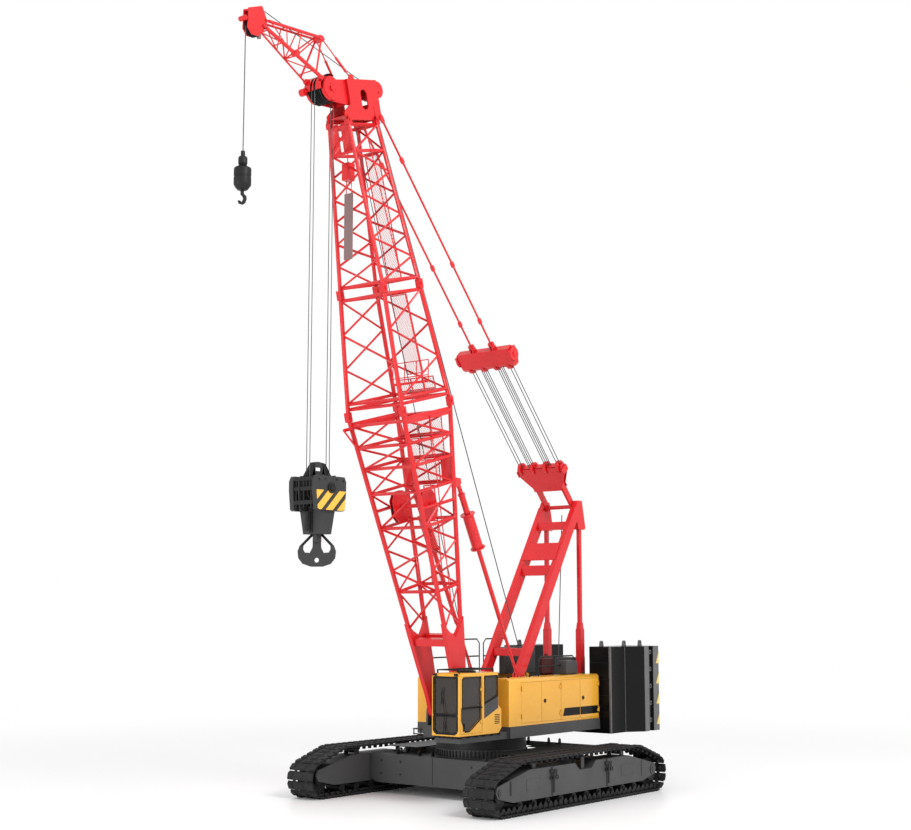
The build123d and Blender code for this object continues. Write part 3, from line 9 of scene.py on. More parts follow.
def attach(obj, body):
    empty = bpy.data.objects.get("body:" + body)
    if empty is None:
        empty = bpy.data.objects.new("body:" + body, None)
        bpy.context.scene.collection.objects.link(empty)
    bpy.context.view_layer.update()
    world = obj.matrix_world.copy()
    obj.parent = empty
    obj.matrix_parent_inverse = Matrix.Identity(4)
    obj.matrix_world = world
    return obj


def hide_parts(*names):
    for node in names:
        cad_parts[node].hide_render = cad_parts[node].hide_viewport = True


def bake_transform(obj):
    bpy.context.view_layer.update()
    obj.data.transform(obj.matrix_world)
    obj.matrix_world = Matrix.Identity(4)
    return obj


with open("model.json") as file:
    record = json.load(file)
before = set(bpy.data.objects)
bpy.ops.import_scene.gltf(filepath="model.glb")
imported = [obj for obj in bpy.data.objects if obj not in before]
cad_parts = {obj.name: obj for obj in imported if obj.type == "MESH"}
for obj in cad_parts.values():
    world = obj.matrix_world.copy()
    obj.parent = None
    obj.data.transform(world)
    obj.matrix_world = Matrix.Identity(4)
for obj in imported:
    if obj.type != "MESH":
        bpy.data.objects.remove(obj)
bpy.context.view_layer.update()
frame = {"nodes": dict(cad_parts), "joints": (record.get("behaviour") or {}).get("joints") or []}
nodes = frame["nodes"]
pin = {joint["name"]: Vector(joint["pos_m"]) for joint in frame["joints"] if "pos_m" in joint}


# ---- studio ---------------------------------------------------------------------------------
# A white paper floor under an even white sky, with one large soft lamp high on the cab side and a
# weaker one in front. The floor runs out into plain white, so no horizon shows. The camera stands
# far off, front left, at five metres above the ground.
camera_place = (25.154, -32.727, 5.016)
camera_turn = (math.radians(90 + 7.7615), 0.0, math.radians(38.547))
camera_lens = 57.11
sky_light = 0.88
floor_half = 180.0
floor_white = (13.0, 34.0)      # metres from the crane between which the floor turns plain white

camera = bpy.data.objects.new("camera", bpy.data.cameras.new("camera"))
camera.location = camera_place
camera.rotation_euler = camera_turn
camera.data.lens = camera_lens
camera.data.sensor_width = 36.0
camera.data.clip_end = 400.0
bpy.context.scene.collection.objects.link(camera)
bpy.context.scene.camera = camera
bpy.context.scene.view_settings.view_transform = "Standard"


def linear(code):
    """Colour of an sRGB hex code, in the linear values that shaders take."""
    parts = [int(code[k:k + 2], 16) / 255 for k in (0, 2, 4)]
    return (*(p / 12.92 if p <= 0.04045 else ((p + 0.055) / 1.055) ** 2.4 for p in parts), 1.0)


def add(tree, kind, settings=None, links=None):
    """Adds a node with its settings, by socket or attribute name, and links {socket: (node, output)}."""
    made = tree.nodes.new(kind)
    for name, value in (settings or {}).items():
        if isinstance(name, int) or name in made.inputs:
            made.inputs[name].default_value = value
        else:
            setattr(made, name, value)
    for name, (source, output) in (links or {}).items():
        tree.links.new(source.outputs[output], made.inputs[name])
    return made


world = bpy.data.worlds.new("studio sky")
world.use_nodes = True
sky = world.node_tree
seen = add(sky, "ShaderNodeLightPath")
level = add(sky, "ShaderNodeMapRange", {"To Min": sky_light, "To Max": 1.0},
            {"Value": (seen, "Is Camera Ray")})
sky.nodes["Background"].inputs["Color"].default_value = linear("ffffff")
sky.links.new(level.outputs[0], sky.nodes["Background"].inputs["Strength"])
bpy.context.scene.world = world

for name, place, target, size, power in (
        ("lamp high on the cab side", (26.0, -8.0, 26.0), (0.0, 0.0, 6.0), 12.0, 6000.0),
        ("lamp in front", (-6.0, -36.0, 9.0), (0.0, 0.0, 3.0), 14.0, 3200.0)):
    lamp = bpy.data.objects.new(name, bpy.data.lights.new(name, "AREA"))
    lamp.data.size = size
    lamp.data.energy = power
    lamp.location = place
    lamp.rotation_euler = (Vector(target) - Vector(place)).to_track_quat("-Z", "Y").to_euler()
    bpy.context.scene.collection.objects.link(lamp)

floor_bm = bmesh.new()
bmesh.ops.create_grid(floor_bm, x_segments=1, y_segments=1, size=floor_half)
floor = bpy.data.objects.new("floor", bpy.data.meshes.new("floor"))
floor_bm.to_mesh(floor.data)
floor_bm.free()
bpy.context.scene.collection.objects.link(floor)
seamless = bpy.data.materials.new("seamless paper")
seamless.use_nodes = True
tree = seamless.node_tree
paper = tree.nodes["Principled BSDF"]
paper.inputs["Base Color"].default_value = linear("fafafa")
paper.inputs["Roughness"].default_value = 0.4
place = add(tree, "ShaderNodeTexCoord")
reach = add(tree, "ShaderNodeVectorMath", {"operation": "LENGTH"}, {0: (place, "Object")})
share = add(tree, "ShaderNodeMapRange", {"interpolation_type": "SMOOTHSTEP",
                                         "From Min": floor_white[0], "From Max": floor_white[1]},
            {"Value": (reach, "Value")})
white = add(tree, "ShaderNodeEmission", {"Color": linear("ffffff"), "Strength": 1.0})
mixed = add(tree, "ShaderNodeMixShader", None, {0: (share, 0), 1: (paper, 0), 2: (white, 0)})
tree.links.new(mixed.outputs[0], tree.nodes["Material Output"].inputs["Surface"])
floor.data.materials.append(seamless)


# ---- red steelwork: boom, head, jib, gantry, stays ------------------------------------------
# Welded tube and plate under sprayed two-pack enamel: glossy, slightly deeper where the coat lies
# thick, with a faint orange peel that is drawn at 4 mm because the real 1 mm one would not show.
def enamel(name, colour, deeper, corner_shade, roughness=0.3, coat=0.15, shine=0.4):
    """Enamel on steel: two close tones in clouds of about 0.6 m, painted shade in corners, orange peel."""
    made = bpy.data.materials.new(name)
    made.use_nodes = True
    tree = made.node_tree
    shader = tree.nodes["Principled BSDF"]
    place = add(tree, "ShaderNodeTexCoord")
    clouds = add(tree, "ShaderNodeTexNoise", {"Scale": 1.6, "Detail": 5.0, "Roughness": 0.6},
                 {"Vector": (place, "Object")})
    tone = add(tree, "ShaderNodeMix", {"data_type": "RGBA", 6: linear(colour), 7: linear(deeper)},
               {0: (clouds, 0)})
    # painted shade: a darker tone of the paint is mixed in where ambient occlusion finds corners and creases
    corner = add(tree, "ShaderNodeAmbientOcclusion", {"samples": 4, "inside": False, "Distance": 0.12})
    hidden = add(tree, "ShaderNodeMapRange",
                 {"From Min": 0.25, "From Max": 0.75, "To Min": 0.75, "To Max": 0.0},
                 {"Value": (corner, "AO")})
    corner_shaded = add(tree, "ShaderNodeMix", {"data_type": "RGBA", 7: linear(corner_shade)},
                {0: (hidden, 0), 6: (tone, 2)})
    tree.links.new(corner_shaded.outputs[2], shader.inputs["Base Color"])
    gloss = add(tree, "ShaderNodeMapRange", {"From Min": 0.3, "From Max": 0.7,
                                             "To Min": roughness - 0.05, "To Max": roughness + 0.1},
                {"Value": (clouds, 0)})
    tree.links.new(gloss.outputs[0], shader.inputs["Roughness"])
    dimple = add(tree, "ShaderNodeTexNoise", {"Scale": 260.0, "Detail": 2.0},
                 {"Vector": (place, "Object")})
    bump = add(tree, "ShaderNodeBump", {"Strength": 0.05, "Distance": 0.002}, {"Height": (dimple, 0)})
    tree.links.new(bump.outputs[0], shader.inputs["Normal"])
    shader.inputs["Specular IOR Level"].default_value = shine
    shader.inputs["Coat Weight"].default_value = coat
    shader.inputs["Coat Roughness"].default_value = 0.12
    return made


weld_distance = 0.00002


def dress(material, *names):
    """Gives CAD nodes their material, and shades their tubes round where flats meet gently."""
    for name in names:
        node = nodes[name]
        node.data.materials.clear()
        node.data.materials.append(material)
        weld = node.modifiers.new("weld", "WELD")
        weld.merge_threshold = weld_distance
        split = node.modifiers.new("split", "EDGE_SPLIT")
        split.split_angle = math.radians(61)
        node.data.polygons.foreach_set("use_smooth", [True] * len(node.data.polygons))


boom_red = enamel("red enamel", "dd1c22", "c9151b", "6d0c10")
dress(boom_red, "boom_base", "boom_middle", "boom_top", "boom_head", "jib", "gantry_legs",
      "gantry_masts", "gantry_block", "bridle_block", "pendants", "backstop_tubes", "backstop_rods",
      "backstop_brackets")


# ---- machinery houses and cab shell ---------------------------------------------------------
# Pressed sheet steel under amber enamel, with doors of the same sheet hung on pinned hinges. The
# coat lies on flat sheet, so it is smoother and shines a little more than the one on the tubes.
house_amber = enamel("amber enamel", "ecae38", "e1a12e", "825a17", 0.26, 0.25)
dress(house_amber, "house_left", "house_right", "cab_shell", "cab_door",
      *[f"house_door_{side}_{number}" for side in ("left", "right") for number in range(1, 5)])


# ---- frame, counterweight and undercarriage -------------------------------------------------
# Plate and castings under dark grey chassis enamel, satin. The counterweight carries a blacker
# coat, smoother because slabs are sprayed lying flat; the winches and wheels wear a dull one.
chassis_grey = enamel("dark chassis enamel", "4c4c4d", "424243", "161617", 0.45, 0.0, 0.25)
dress(chassis_grey, "carbody", "carbody_lugs", "upper_frame", "slewing_ring", "side_frame_left",
      "side_frame_right", "deck_box", "engine_block")
slab_black = enamel("black slab enamel", "141415", "0f0f10", "070707", 0.22, 0.0, 0.12)
dress(slab_black, "counterweight_tray", "counterweight_left", "counterweight_right")
gear_black = enamel("black gear enamel", "262627", "1d1d1e", "0c0c0c", 0.42, 0.0, 0.2)
dress(gear_black, "track_wheels_left", "track_wheels_right", "aux_block", "aux_hook",
      "hoist_winches", "rear_winches", "railings", "cab_guard", "boom_sheaves", "jib_sheave")
link_grey = enamel("grey casting enamel", "6a6a6b", "5c5c5d", "202021", 0.4, 0.0, 0.3)
dress(link_grey, "counterweight_fittings")


# ---- ropes ----------------------------------------------------------------------------------
# Bright drawn wire laid up in strands and greased, so it shines only dully. A rope between two
# moving bodies is one taut straight stretch.
wire_steel = bpy.data.materials.new("greased wire rope")
wire_steel.use_nodes = True
tree = wire_steel.node_tree
wire = tree.nodes["Principled BSDF"]
place = add(tree, "ShaderNodeTexCoord")
# the lay is drawn at 60 mm, because the real 10 mm strands would not show
lay = add(tree, "ShaderNodeTexWave",
          {"Scale": 17.0, "Distortion": 0.0, "bands_direction": "DIAGONAL"},
          {"Vector": (place, "Object")})
strand = add(tree, "ShaderNodeMix", {"data_type": "RGBA", 6: linear("3c3d3f"), 7: linear("5c5d60")},
             {0: (lay, 1)})
tree.links.new(strand.outputs[2], wire.inputs["Base Color"])
wire.inputs["Metallic"].default_value = 0.6
wire.inputs["Roughness"].default_value = 0.5
dress(wire_steel, "main_falls", "aux_fall")


def piece(name, bm, material, body, crease=35):
    """Makes a bmesh a piece of that material riding on a body, smooth but for edges over crease."""
    bmesh.ops.recalc_face_normals(bm, faces=bm.faces)
    made = bpy.data.objects.new(name, bpy.data.meshes.new(name))
    bm.to_mesh(made.data)
    bm.free()
    made.data.polygons.foreach_set("use_smooth", [True] * len(made.data.polygons))
    made.data.set_sharp_from_angle(angle=math.radians(crease))
    made.data.materials.append(material)
    bpy.context.scene.collection.objects.link(made)
    if body:
        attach(made, body)
    return made


def rod(bm, start, end, radius, sides=12, taper=1.0):
    """Round bar from start to end."""
    start, end = Vector(start), Vector(end)
    turn = (end - start).to_track_quat("Z", "Y").to_matrix().to_4x4()
    bmesh.ops.create_cone(bm, cap_ends=True, segments=sides, radius1=radius, radius2=radius * taper,
                          depth=(end - start).length, matrix=Matrix.Translation((start + end) / 2) @ turn)


rope_sides = 8
hoist_radius = 0.014
luffing_radius = 0.012
falls_radius = 0.010
aux_radius = 0.013


def taut_rope(name, start, end, radius):
    """Straight stretch of rope from start to end, of that radius."""
    start, end = Vector(start), Vector(end)
    bm = bmesh.new()
    rod(bm, start, end, radius, rope_sides)
    rope = piece(name, bm, wire_steel, None)
    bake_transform(rope)
    return rope


# twelve parts of the luffing rope between the sheaves of the bridle and of the gantry block
tail = pin["gantry_block_pin"]
head = pin["pendant_pin"]
line = (tail - head).normalized()
bridle_sheaves, block_sheaves = 7.95, 11.75     # from the boom head's pin, down the luffing line
one_side = (0.195, 0.27, 0.345, 0.405, 0.64, 0.75)
for number, x in enumerate([-x for x in reversed(one_side)] + list(one_side)):
    start, end = (head + line * distance + Vector((x, 0, 0))
                  for distance in (bridle_sheaves, block_sheaves))
    taut_rope(f"luffing_rope_{number + 1}", start, end, luffing_radius)

# the main and auxiliary hoist ropes, from their drums up behind the boom to its head
for name, start, end, radius in (
        ("hoist_rope_outer", (0.12, 2.25, 2.62), (0.12, -5.02, 18.95), hoist_radius),
        ("hoist_rope_inner", (-0.1, -0.18, 2.72), (-0.1, -5.62, 18.70), luffing_radius)):
    taut_rope(name, start, end, radius)

# the falls of the two hook blocks
main_axle = pin["main_line_hang"]
aux_y = pin["aux_line_hang"].y - 0.2133         # the auxiliary line's own plane
block_axle_z = 8.06
falls = []
for number, (y, x) in enumerate(((-0.35, -0.056), (-0.35, 0.056), (0.35, -0.056), (0.35, 0.056))):
    start = (x, main_axle.y + y, main_axle.z)
    falls.append((taut_rope(f"main_fall_{number + 1}", start, (*start[:2], block_axle_z), falls_radius), "main_falls"))
falls.append((taut_rope("aux_rope", (0, aux_y, 19.29), (0, aux_y, 16.05), aux_radius), "aux_fall"))
for rope, node in falls:
    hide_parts(node)

# the luffing rope's lead from the gantry's head down to its drum
bm = bmesh.new()
rod(bm, (0.2, 3.80, 7.95), (0.2, 3.50, 2.85), hoist_radius, rope_sides)
piece("luffing_rope_down", bm, wire_steel, "upper")


# ---- cab glazing ----------------------------------------------------------------------------
# Toughened safety glass with a brown sun tint, polished and held in rubber seals. It lets little
# light through, so that the cab looks dark but for the shape of the seat.
tinted_glass = bpy.data.materials.new("tinted safety glass")
tinted_glass.use_nodes = True
tree = tinted_glass.node_tree
pane = tree.nodes["Principled BSDF"]
place = add(tree, "ShaderNodeTexCoord")
tint = add(tree, "ShaderNodeTexNoise", {"Scale": 1.3, "Detail": 2.0}, {"Vector": (place, "Object")})
shade = add(tree, "ShaderNodeMix", {"data_type": "RGBA", 6: linear("2a2623"), 7: linear("3b3530")},
            {0: (tint, 0)})
tree.links.new(shade.outputs[2], pane.inputs["Base Color"])
pane.inputs["Roughness"].default_value = 0.06
pane.inputs["Alpha"].default_value = 0.82
dress(tinted_glass, "cab_glass", "cab_door_glass")


# ---- crawler tracks -------------------------------------------------------------------------
# Cast steel shoes pinned end to end: a flat sole plate with thick ends, two drive lugs inside and
# the pin lugs between. They run round the idler, the sprocket, the rollers and the top rollers.
# The worn castings are rough and hardly shine.
shoe_half_width = 0.465
shoe_count = 73
shoe_sole = 0.096
wheel_centre = (3.6, 0.52)
rim_radius = 0.424
top_run = 1.254
bend_centre_y = 2.75
bend_radius = 0.9
track_middle = 3.035


def loop_places(count):
    """(y, z, outward angle) of evenly spaced places along the loop's inner line, and their pitch."""
    reach = math.hypot(bend_centre_y - wheel_centre[0], top_run - wheel_centre[1])
    towards = math.atan2(top_run - wheel_centre[1], bend_centre_y - wheel_centre[0])
    leave = towards - math.acos(rim_radius / reach)
    trim = bend_radius * math.tan((math.pi / 2 - leave) / 2)
    bend = (bend_centre_y - trim, top_run - bend_radius)
    start = (wheel_centre[0] + rim_radius * math.cos(leave),
             wheel_centre[1] + rim_radius * math.sin(leave))
    end = (bend[0] + bend_radius * math.cos(leave), bend[1] + bend_radius * math.sin(leave))
    down, up = -math.pi / 2, math.pi / 2
    # half the loop: a straight run's ends or None, its first and last angle, its circle or None
    half = [((0.0, shoe_sole), (wheel_centre[0], shoe_sole), down, down, None),
            (None, None, down, leave, (*wheel_centre, rim_radius)),
            (start, end, leave, leave, None),
            (None, None, leave, up, (*bend, bend_radius)),
            ((bend[0], top_run), (0.0, top_run), up, up, None)]
    lengths = [circle[2] * (last - first) if circle else math.dist(near, far)
               for near, far, first, last, circle in half]
    total = sum(lengths)
    places = []
    for number in range(count):
        distance = 2 * total * (number + 0.5) / count
        mirror = distance > total
        distance = 2 * total - distance if mirror else distance
        for (near, far, first, last, circle), length in zip(half, lengths):
            if distance <= length:
                break
            distance -= length
        if circle:
            angle = first + (last - first) * distance / length
            y = circle[0] + circle[2] * math.cos(angle)
            z = circle[1] + circle[2] * math.sin(angle)
        else:
            angle = first
            y, z = (a + (b - a) * distance / length for a, b in zip(near, far))
        places.append((-y, z, math.pi - angle) if mirror else (y, z, angle))
    return places, 2 * total / count


def brick(bm, corner, opposite, bevel=0.0, place=Matrix.Identity(4)):
    """Block between two opposite corners, its edges rounded by bevel, put at place."""
    corner, opposite = Vector(corner), Vector(opposite)
    size = [abs(step) for step in opposite - corner]
    made = bmesh.ops.create_cube(bm, size=1.0, matrix=place @ Matrix.Translation((corner + opposite) / 2)
                                 @ Matrix.Diagonal((*size, 1)))
    if bevel:
        edges = list({edge for vert in made["verts"] for edge in vert.link_edges})
        bmesh.ops.bevel(bm, geom=edges, offset=bevel, affect="EDGES", segments=1, profile=0.5,
                        material=-1)


shoe_steel = enamel("worn cast steel", "3b3b3c", "222223", "070707", 0.6, 0.0, 0.06)
places, pitch = loop_places(shoe_count)
half = pitch / 2
# a shoe's blocks: from and to across the track, along it and outwards, then the edges' rounding
middle_blocks = (
    ((-shoe_half_width, shoe_half_width), (0.012 - half, half - 0.012), (0.034, 0.070), 0.008),   # sole
    ((-0.10, 0.10), (0.05 - half, half - 0.05), (0.060, 0.088), 0.01))                            # rib
end_blocks = (
    ((0.30, shoe_half_width), (0.03 - half, half - 0.03), (0.060, shoe_sole), 0.012),    # thick end
    ((0.29, 0.36), (-0.05, 0.05), (-0.045, 0.04), 0.012),                                # drive lug
    ((0.18, 0.27), (half - 0.06, half + 0.05), (0.004, 0.05), 0.01))                     # pin lug
for side, x_middle in (("left", track_middle), ("right", -track_middle)):
    bm = bmesh.new()
    for y, z, angle in places:
        place = Matrix.Translation((x_middle, y, z)) @ Matrix.Rotation(angle - math.pi / 2, 4, "X")
        for blocks, ends in ((middle_blocks, (1,)), (end_blocks, (-1, 1))):
            for across, along, out, bevel in blocks:
                for end in ends:
                    brick(bm, (end * across[0], along[0], out[0]), (end * across[1], along[1], out[1]),
                          bevel, place)
        reach = shoe_half_width - 0.02
        rod(bm, place @ Vector((-reach, half, 0.04)), place @ Vector((reach, half, 0.04)), 0.016, 6)
    track = piece(f"track_chain_{side}", bm, shoe_steel, "undercarriage")
    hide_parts(f"track_{side}")


# ---- boom fittings --------------------------------------------------------------------------
# Inside the rear face hangs a walkway of expanded steel mesh in welded edge frames; headed pins
# join the sections, and small plates, a box, a conduit and a railing sit on the lattice.
foot = pin["luff"]
boom_angle = math.radians(75.34)
# distance along the boom, half width and half depth between its chords, in metres
boom_stations = ((2.25, 0.622, 0.33), (8.36, 0.955, 1.01), (11.6, 0.765, 0.745), (16.08, 0.33, 0.56))


def boom_half(s):
    """Half width and half depth of the boom at a distance along it."""
    for (s0, w0, d0), (s1, w1, d1) in zip(boom_stations, boom_stations[1:]):
        if s <= s1:
            share = (s - s0) / (s1 - s0)
            return w0 + (w1 - w0) * share, d0 + (d1 - d0) * share
    return boom_stations[-1][1:]


def on_boom(x, s, n):
    """Point s along the boom and n behind its middle."""
    return Vector((x, foot.y - s * math.cos(boom_angle) + n * math.sin(boom_angle),
                   foot.z + s * math.sin(boom_angle) + n * math.cos(boom_angle)))


def expanded_mesh(name, corners, cell, strand, material, body):
    """Expanded metal on a four-cornered panel: diamonds of about cell (long, short) metres."""
    across = max(2, round((corners[1] - corners[0]).length / cell[1]))
    along = max(2, round((corners[3] - corners[0]).length / cell[0]))
    bm = bmesh.new()
    bmesh.ops.create_grid(bm, x_segments=across, y_segments=along, size=0.5)
    inner = [edge for edge in bm.edges if not edge.is_boundary]
    bmesh.ops.poke(bm, faces=bm.faces)
    bmesh.ops.dissolve_edges(bm, edges=inner, use_verts=False)
    for vert in bm.verts:
        u, v = vert.co.x + 0.5, vert.co.y + 0.5
        low = corners[0].lerp(corners[1], u)
        high = corners[3].lerp(corners[2], u)
        vert.co = low.lerp(high, v)
    made = piece(name, bm, material, body)
    strands = made.modifiers.new("strands", "WIREFRAME")
    strands.thickness = strand
    strands.use_even_offset = False
    strands.use_replace = True
    strands.use_boundary = True
    return made


# The real mesh's openings are about 60 mm; they are drawn at 100 mm so that they show.
mesh_cell = (0.10, 0.065)
mesh_strand = 0.011
mesh_depth = 0.012              # how far inside the walkway's face the mesh lies
frame_radius = 0.016
wide_panel = 1.0                # a panel wider than this has two bars inside its frame
source = bmesh.new()
source.from_mesh(nodes["catwalk"].data)
bmesh.ops.remove_doubles(source, verts=source.verts, dist=0.0005)
bmesh.ops.dissolve_limit(source, angle_limit=0.02, verts=source.verts, edges=source.edges)
source.faces.ensure_lookup_table()
rear = [face for face in source.faces
        if len(face.verts) == 4 and face.normal.y > 0.9 and abs(face.normal.x) < 0.1]
frames = bmesh.new()
walk_pieces = []
for number, face in enumerate(sorted(rear, key=lambda face: face.calc_center_median().z)):
    rising = sorted(face.verts, key=lambda vert: vert.co.z)
    near = sorted(rising[:2], key=lambda vert: vert.co.x)
    far = sorted(rising[2:], key=lambda vert: vert.co.x)
    corners = [vert.co - face.normal * mesh_depth for vert in (near[0], near[1], far[1], far[0])]
    walk_pieces.append(expanded_mesh(f"catwalk_mesh_{number + 1}", corners, mesh_cell, mesh_strand,
                                     boom_red, "boom"))
    for start, end in zip(corners, corners[1:] + corners[:1]):
        rod(frames, start, end, frame_radius, 6)
    if (corners[1] - corners[0]).length > wide_panel:
        for share in (0.33, 0.67):
            rod(frames, corners[0].lerp(corners[1], share), corners[3].lerp(corners[2], share),
                frame_radius, 6)
source.free()
walk_pieces.append(piece("catwalk_frames", frames, boom_red, "boom"))
for made in walk_pieces:
    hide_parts("catwalk")


def boss(bm, foot, out, radius, sides=12):
    """Round boss or pin that stands out along X from its foot."""
    rod(bm, foot, Vector(foot) + Vector((out, 0, 0)), radius, sides)


# pins through the section joints' lugs, with a head and a cheek plate at each end
pin_half, pin_radius, pin_head = 0.1, 0.034, 0.05
cheek_half = Vector((0.01, 0.055, 0.11))
bm = bmesh.new()
for s, width, depth in boom_stations[1:]:
    for x_side in (-1, 1):
        for n_side in (-1, 1):
            centre = on_boom(x_side * width, s, n_side * depth)
            boss(bm, centre - Vector((pin_half, 0, 0)), 2 * pin_half, pin_radius)
            for end in (-1, 1):
                boss(bm, centre + Vector((end * 0.076, 0, 0)), end * 0.01, pin_head)
                cheek = centre + Vector((end * 0.062, 0, 0))
                brick(bm, cheek - cheek_half, cheek + cheek_half, 0.006)
piece("joint_pins", bm, boom_red, "boom")

# railing of the joint platform: four posts, two rails of tube and a kick plate
platform_s = 8.95
rail_radius = 0.014
width, depth = boom_half(platform_s)
bm = bmesh.new()
posts = [on_boom(x, platform_s, depth - 0.35) for x in (-0.62, -0.2, 0.22, 0.64)]
rise = Vector((0, 0, 0.62))
for post in posts:
    rod(bm, post, post + rise, rail_radius, 8)
for height in (0.33, 1.0):
    rod(bm, posts[0] + rise * height, posts[-1] + rise * height, rail_radius, 8)
brick(bm, posts[0] + Vector((0, -0.01, 0)), posts[-1] + Vector((0, 0.01, 0.07)), 0.004)
piece("platform_rail", bm, boom_red, "boom")

# long flat blank plate that hangs on two straps inside the top section, and a small box over it
plate_grey = enamel("grey plate enamel", "8a6f6e", "7b6261", "3a2d2d", 0.5, 0.0, 0.3)
plate_top, box_low, box_high, stem_top = 15.92, 16.25, 16.72, 17.3
bm = bmesh.new()
brick(bm, (-0.16, -5.66, 14.14), (0.14, -5.63, plate_top), 0.006)
piece("boom_plate", bm, plate_grey, "boom")
bm = bmesh.new()
for x in (-0.1, 0.08):
    rod(bm, (x, -5.645, plate_top - 0.02), (x, -5.645, box_low), 0.012, 8)
brick(bm, (-0.14, -5.80, box_low), (0.12, -5.55, box_high), 0.015)
brick(bm, (-0.11, -5.81, box_low + 0.05), (0.09, -5.795, box_high - 0.06), 0.006)
rod(bm, (-0.01, -5.70, box_high - 0.02), (-0.01, -5.70, stem_top), 0.014, 8)
piece("boom_box", bm, boom_red, "boom")


def thicken(bm, faces, push):
    """Extrudes faces along a vector."""
    grown = bmesh.ops.extrude_face_region(bm, geom=faces)["geom"]
    verts = [item for item in grown if isinstance(item, bmesh.types.BMVert)]
    bmesh.ops.translate(bm, vec=push, verts=verts)


def flat_plate(bm, outline, push):
    """Flat plate: an outline pushed along a vector."""
    thicken(bm, [bm.faces.new([bm.verts.new(point) for point in outline])], push)


# triangular guard plate outside the rear chord away from the cab, below the first section joint
guard_plate = ((8.2, 0.06), (7.55, 0.02), (7.2, 0.28))      # (along the boom, behind the chord)
width, depth = boom_half(8.0)
bm = bmesh.new()
flat_plate(bm, [on_boom(-width - 0.03, s, depth + n) for s, n in guard_plate], Vector((0.02, 0, 0)))
piece("guard_plate", bm, boom_red, "boom")

# cable conduit up the middle of the left face, broken at the joints
conduit_radius = 0.016
bm = bmesh.new()
for ends in ((2.6, 8.1), (8.75, 11.35), (11.95, 15.9)):
    start, end = (on_boom(boom_half(s)[0] + 0.03, s, boom_half(s)[1] * 0.05) for s in ends)
    rod(bm, start, end, conduit_radius, 8)
piece("boom_conduit", bm, boom_red, "boom")


# ---- head and jib fittings ------------------------------------------------------------------
# Cast sheave covers with hub caps and bolts, guide rollers, a curved sheave guard, sleeves welded
# over the jib's chords, a limit switch's hanging weight, and the auxiliary rope over the head.
rear_axle = on_boom(0, 16.92, 0.95)
hub_radius = 0.075
cover_bolts, bolt_circle, bolt_radius = 6, 0.12, 0.016
bm = bmesh.new()
for centre, radius, face_x in ((main_axle, 0.295, 0.32), (rear_axle, 0.21, 0.232)):
    for side in (-1, 1):
        hub = Vector((side * face_x, centre.y, centre.z))
        boss(bm, hub, side * 0.014, radius, 40)
        boss(bm, hub, side * 0.05, hub_radius, 16)
        for number in range(cover_bolts):
            angle = number * 2 * math.pi / cover_bolts
            spot = Vector((0, bolt_circle * math.cos(angle), bolt_circle * math.sin(angle)))
            boss(bm, hub + spot, side * 0.03, bolt_radius, 6)
# guide rollers on spindles: one on a bracket in front of the main sheaves, one on the jib's nose
front_roller = on_boom(-0.3, 16.9, -1.4)
nose_roller = Vector((0, -9.528, 19.454))
spindle_end = 0.02
for centre, half_length, radius in ((front_roller, 0.08, 0.10), (nose_roller, 0.1, 0.065)):
    boss(bm, centre - Vector((half_length, 0, 0)), 2 * half_length, radius, 20)
    reach = half_length + spindle_end
    boss(bm, centre - Vector((reach, 0, 0)), 2 * reach, radius * 0.45)
rod(bm, front_roller, on_boom(-0.3, 16.9, -0.95), 0.035, 8)
# guard bent in twelve steps round the upper front of the main sheaves; its lower part is slotted,
# for the falls lean out through it when the boom is low
guard_radius, guard_half = 0.38, 0.30
guard_start, guard_step, guard_steps = 75, 10, 12
whole = ((-guard_half, guard_half),)
slotted = ((-guard_half, -0.09), (-0.025, 0.025), (0.09, guard_half))
for step in range(guard_steps):
    near_edge, far_edge = (math.radians(guard_start + number * guard_step) for number in (step, step + 1))
    for left, right in whole if step < guard_steps / 2 else slotted:
        bm.faces.new([bm.verts.new((x, main_axle.y + guard_radius * math.cos(angle),
                                    main_axle.z + guard_radius * math.sin(angle)))
                      for x, angle in ((left, near_edge), (right, near_edge),
                                       (right, far_edge), (left, far_edge))])
piece("head_caps", bm, boom_red, "boom")

# sleeves welded over the jib's left chords, and the pin of their middle joint
bm = bmesh.new()
for start, end, radius, sides in (((0.293, -7.06, 18.62), (0.128, -8.86, 19.39), 0.05, 12),
                                  ((0.14, -7.92, 19.0), (0.30, -7.92, 19.0), 0.085, 16),
                                  ((0.095, -6.90, 19.777), (0.109, -8.76, 19.60), 0.042, 10)):
    rod(bm, start, end, radius, sides)
piece("jib_chord_sleeves", bm, boom_red, "boom")

# the switch's weight on its wire
switch_y = -8.98
bm = bmesh.new()
for low, high, radius, sides in ((19.11, 19.26, 0.055, 16), (19.24, 19.40, 0.008, 6)):
    rod(bm, (0, switch_y, low), (0, switch_y, high), radius, sides)
piece("switch_weight", bm, plate_grey, "boom")

tip = pin["aux_line_hang"]
over_start, over_end = (0.0, tip.y + 0.30, tip.z + 0.60), (0.05, -4.95, 19.02)
bm = bmesh.new()
rod(bm, over_start, over_end, 0.011, rope_sides)
piece("aux_rope_over", bm, wire_steel, "boom")


# ---- luffing gear plates --------------------------------------------------------------------
# Welded side plates of the gantry block, a trapezium that narrows to its two arms, the bridle's
# end caps and the pins of the pendants.
upwards = Vector((0, -line.z, line.y)).normalized()
if upwards.z < 0:
    upwards = -upwards


def on_line(x, distance, off=0.0):
    """Point down the luffing line from the boom head's pin, off to its upper side."""
    return head + line * distance + upwards * off + Vector((x, 0, 0))


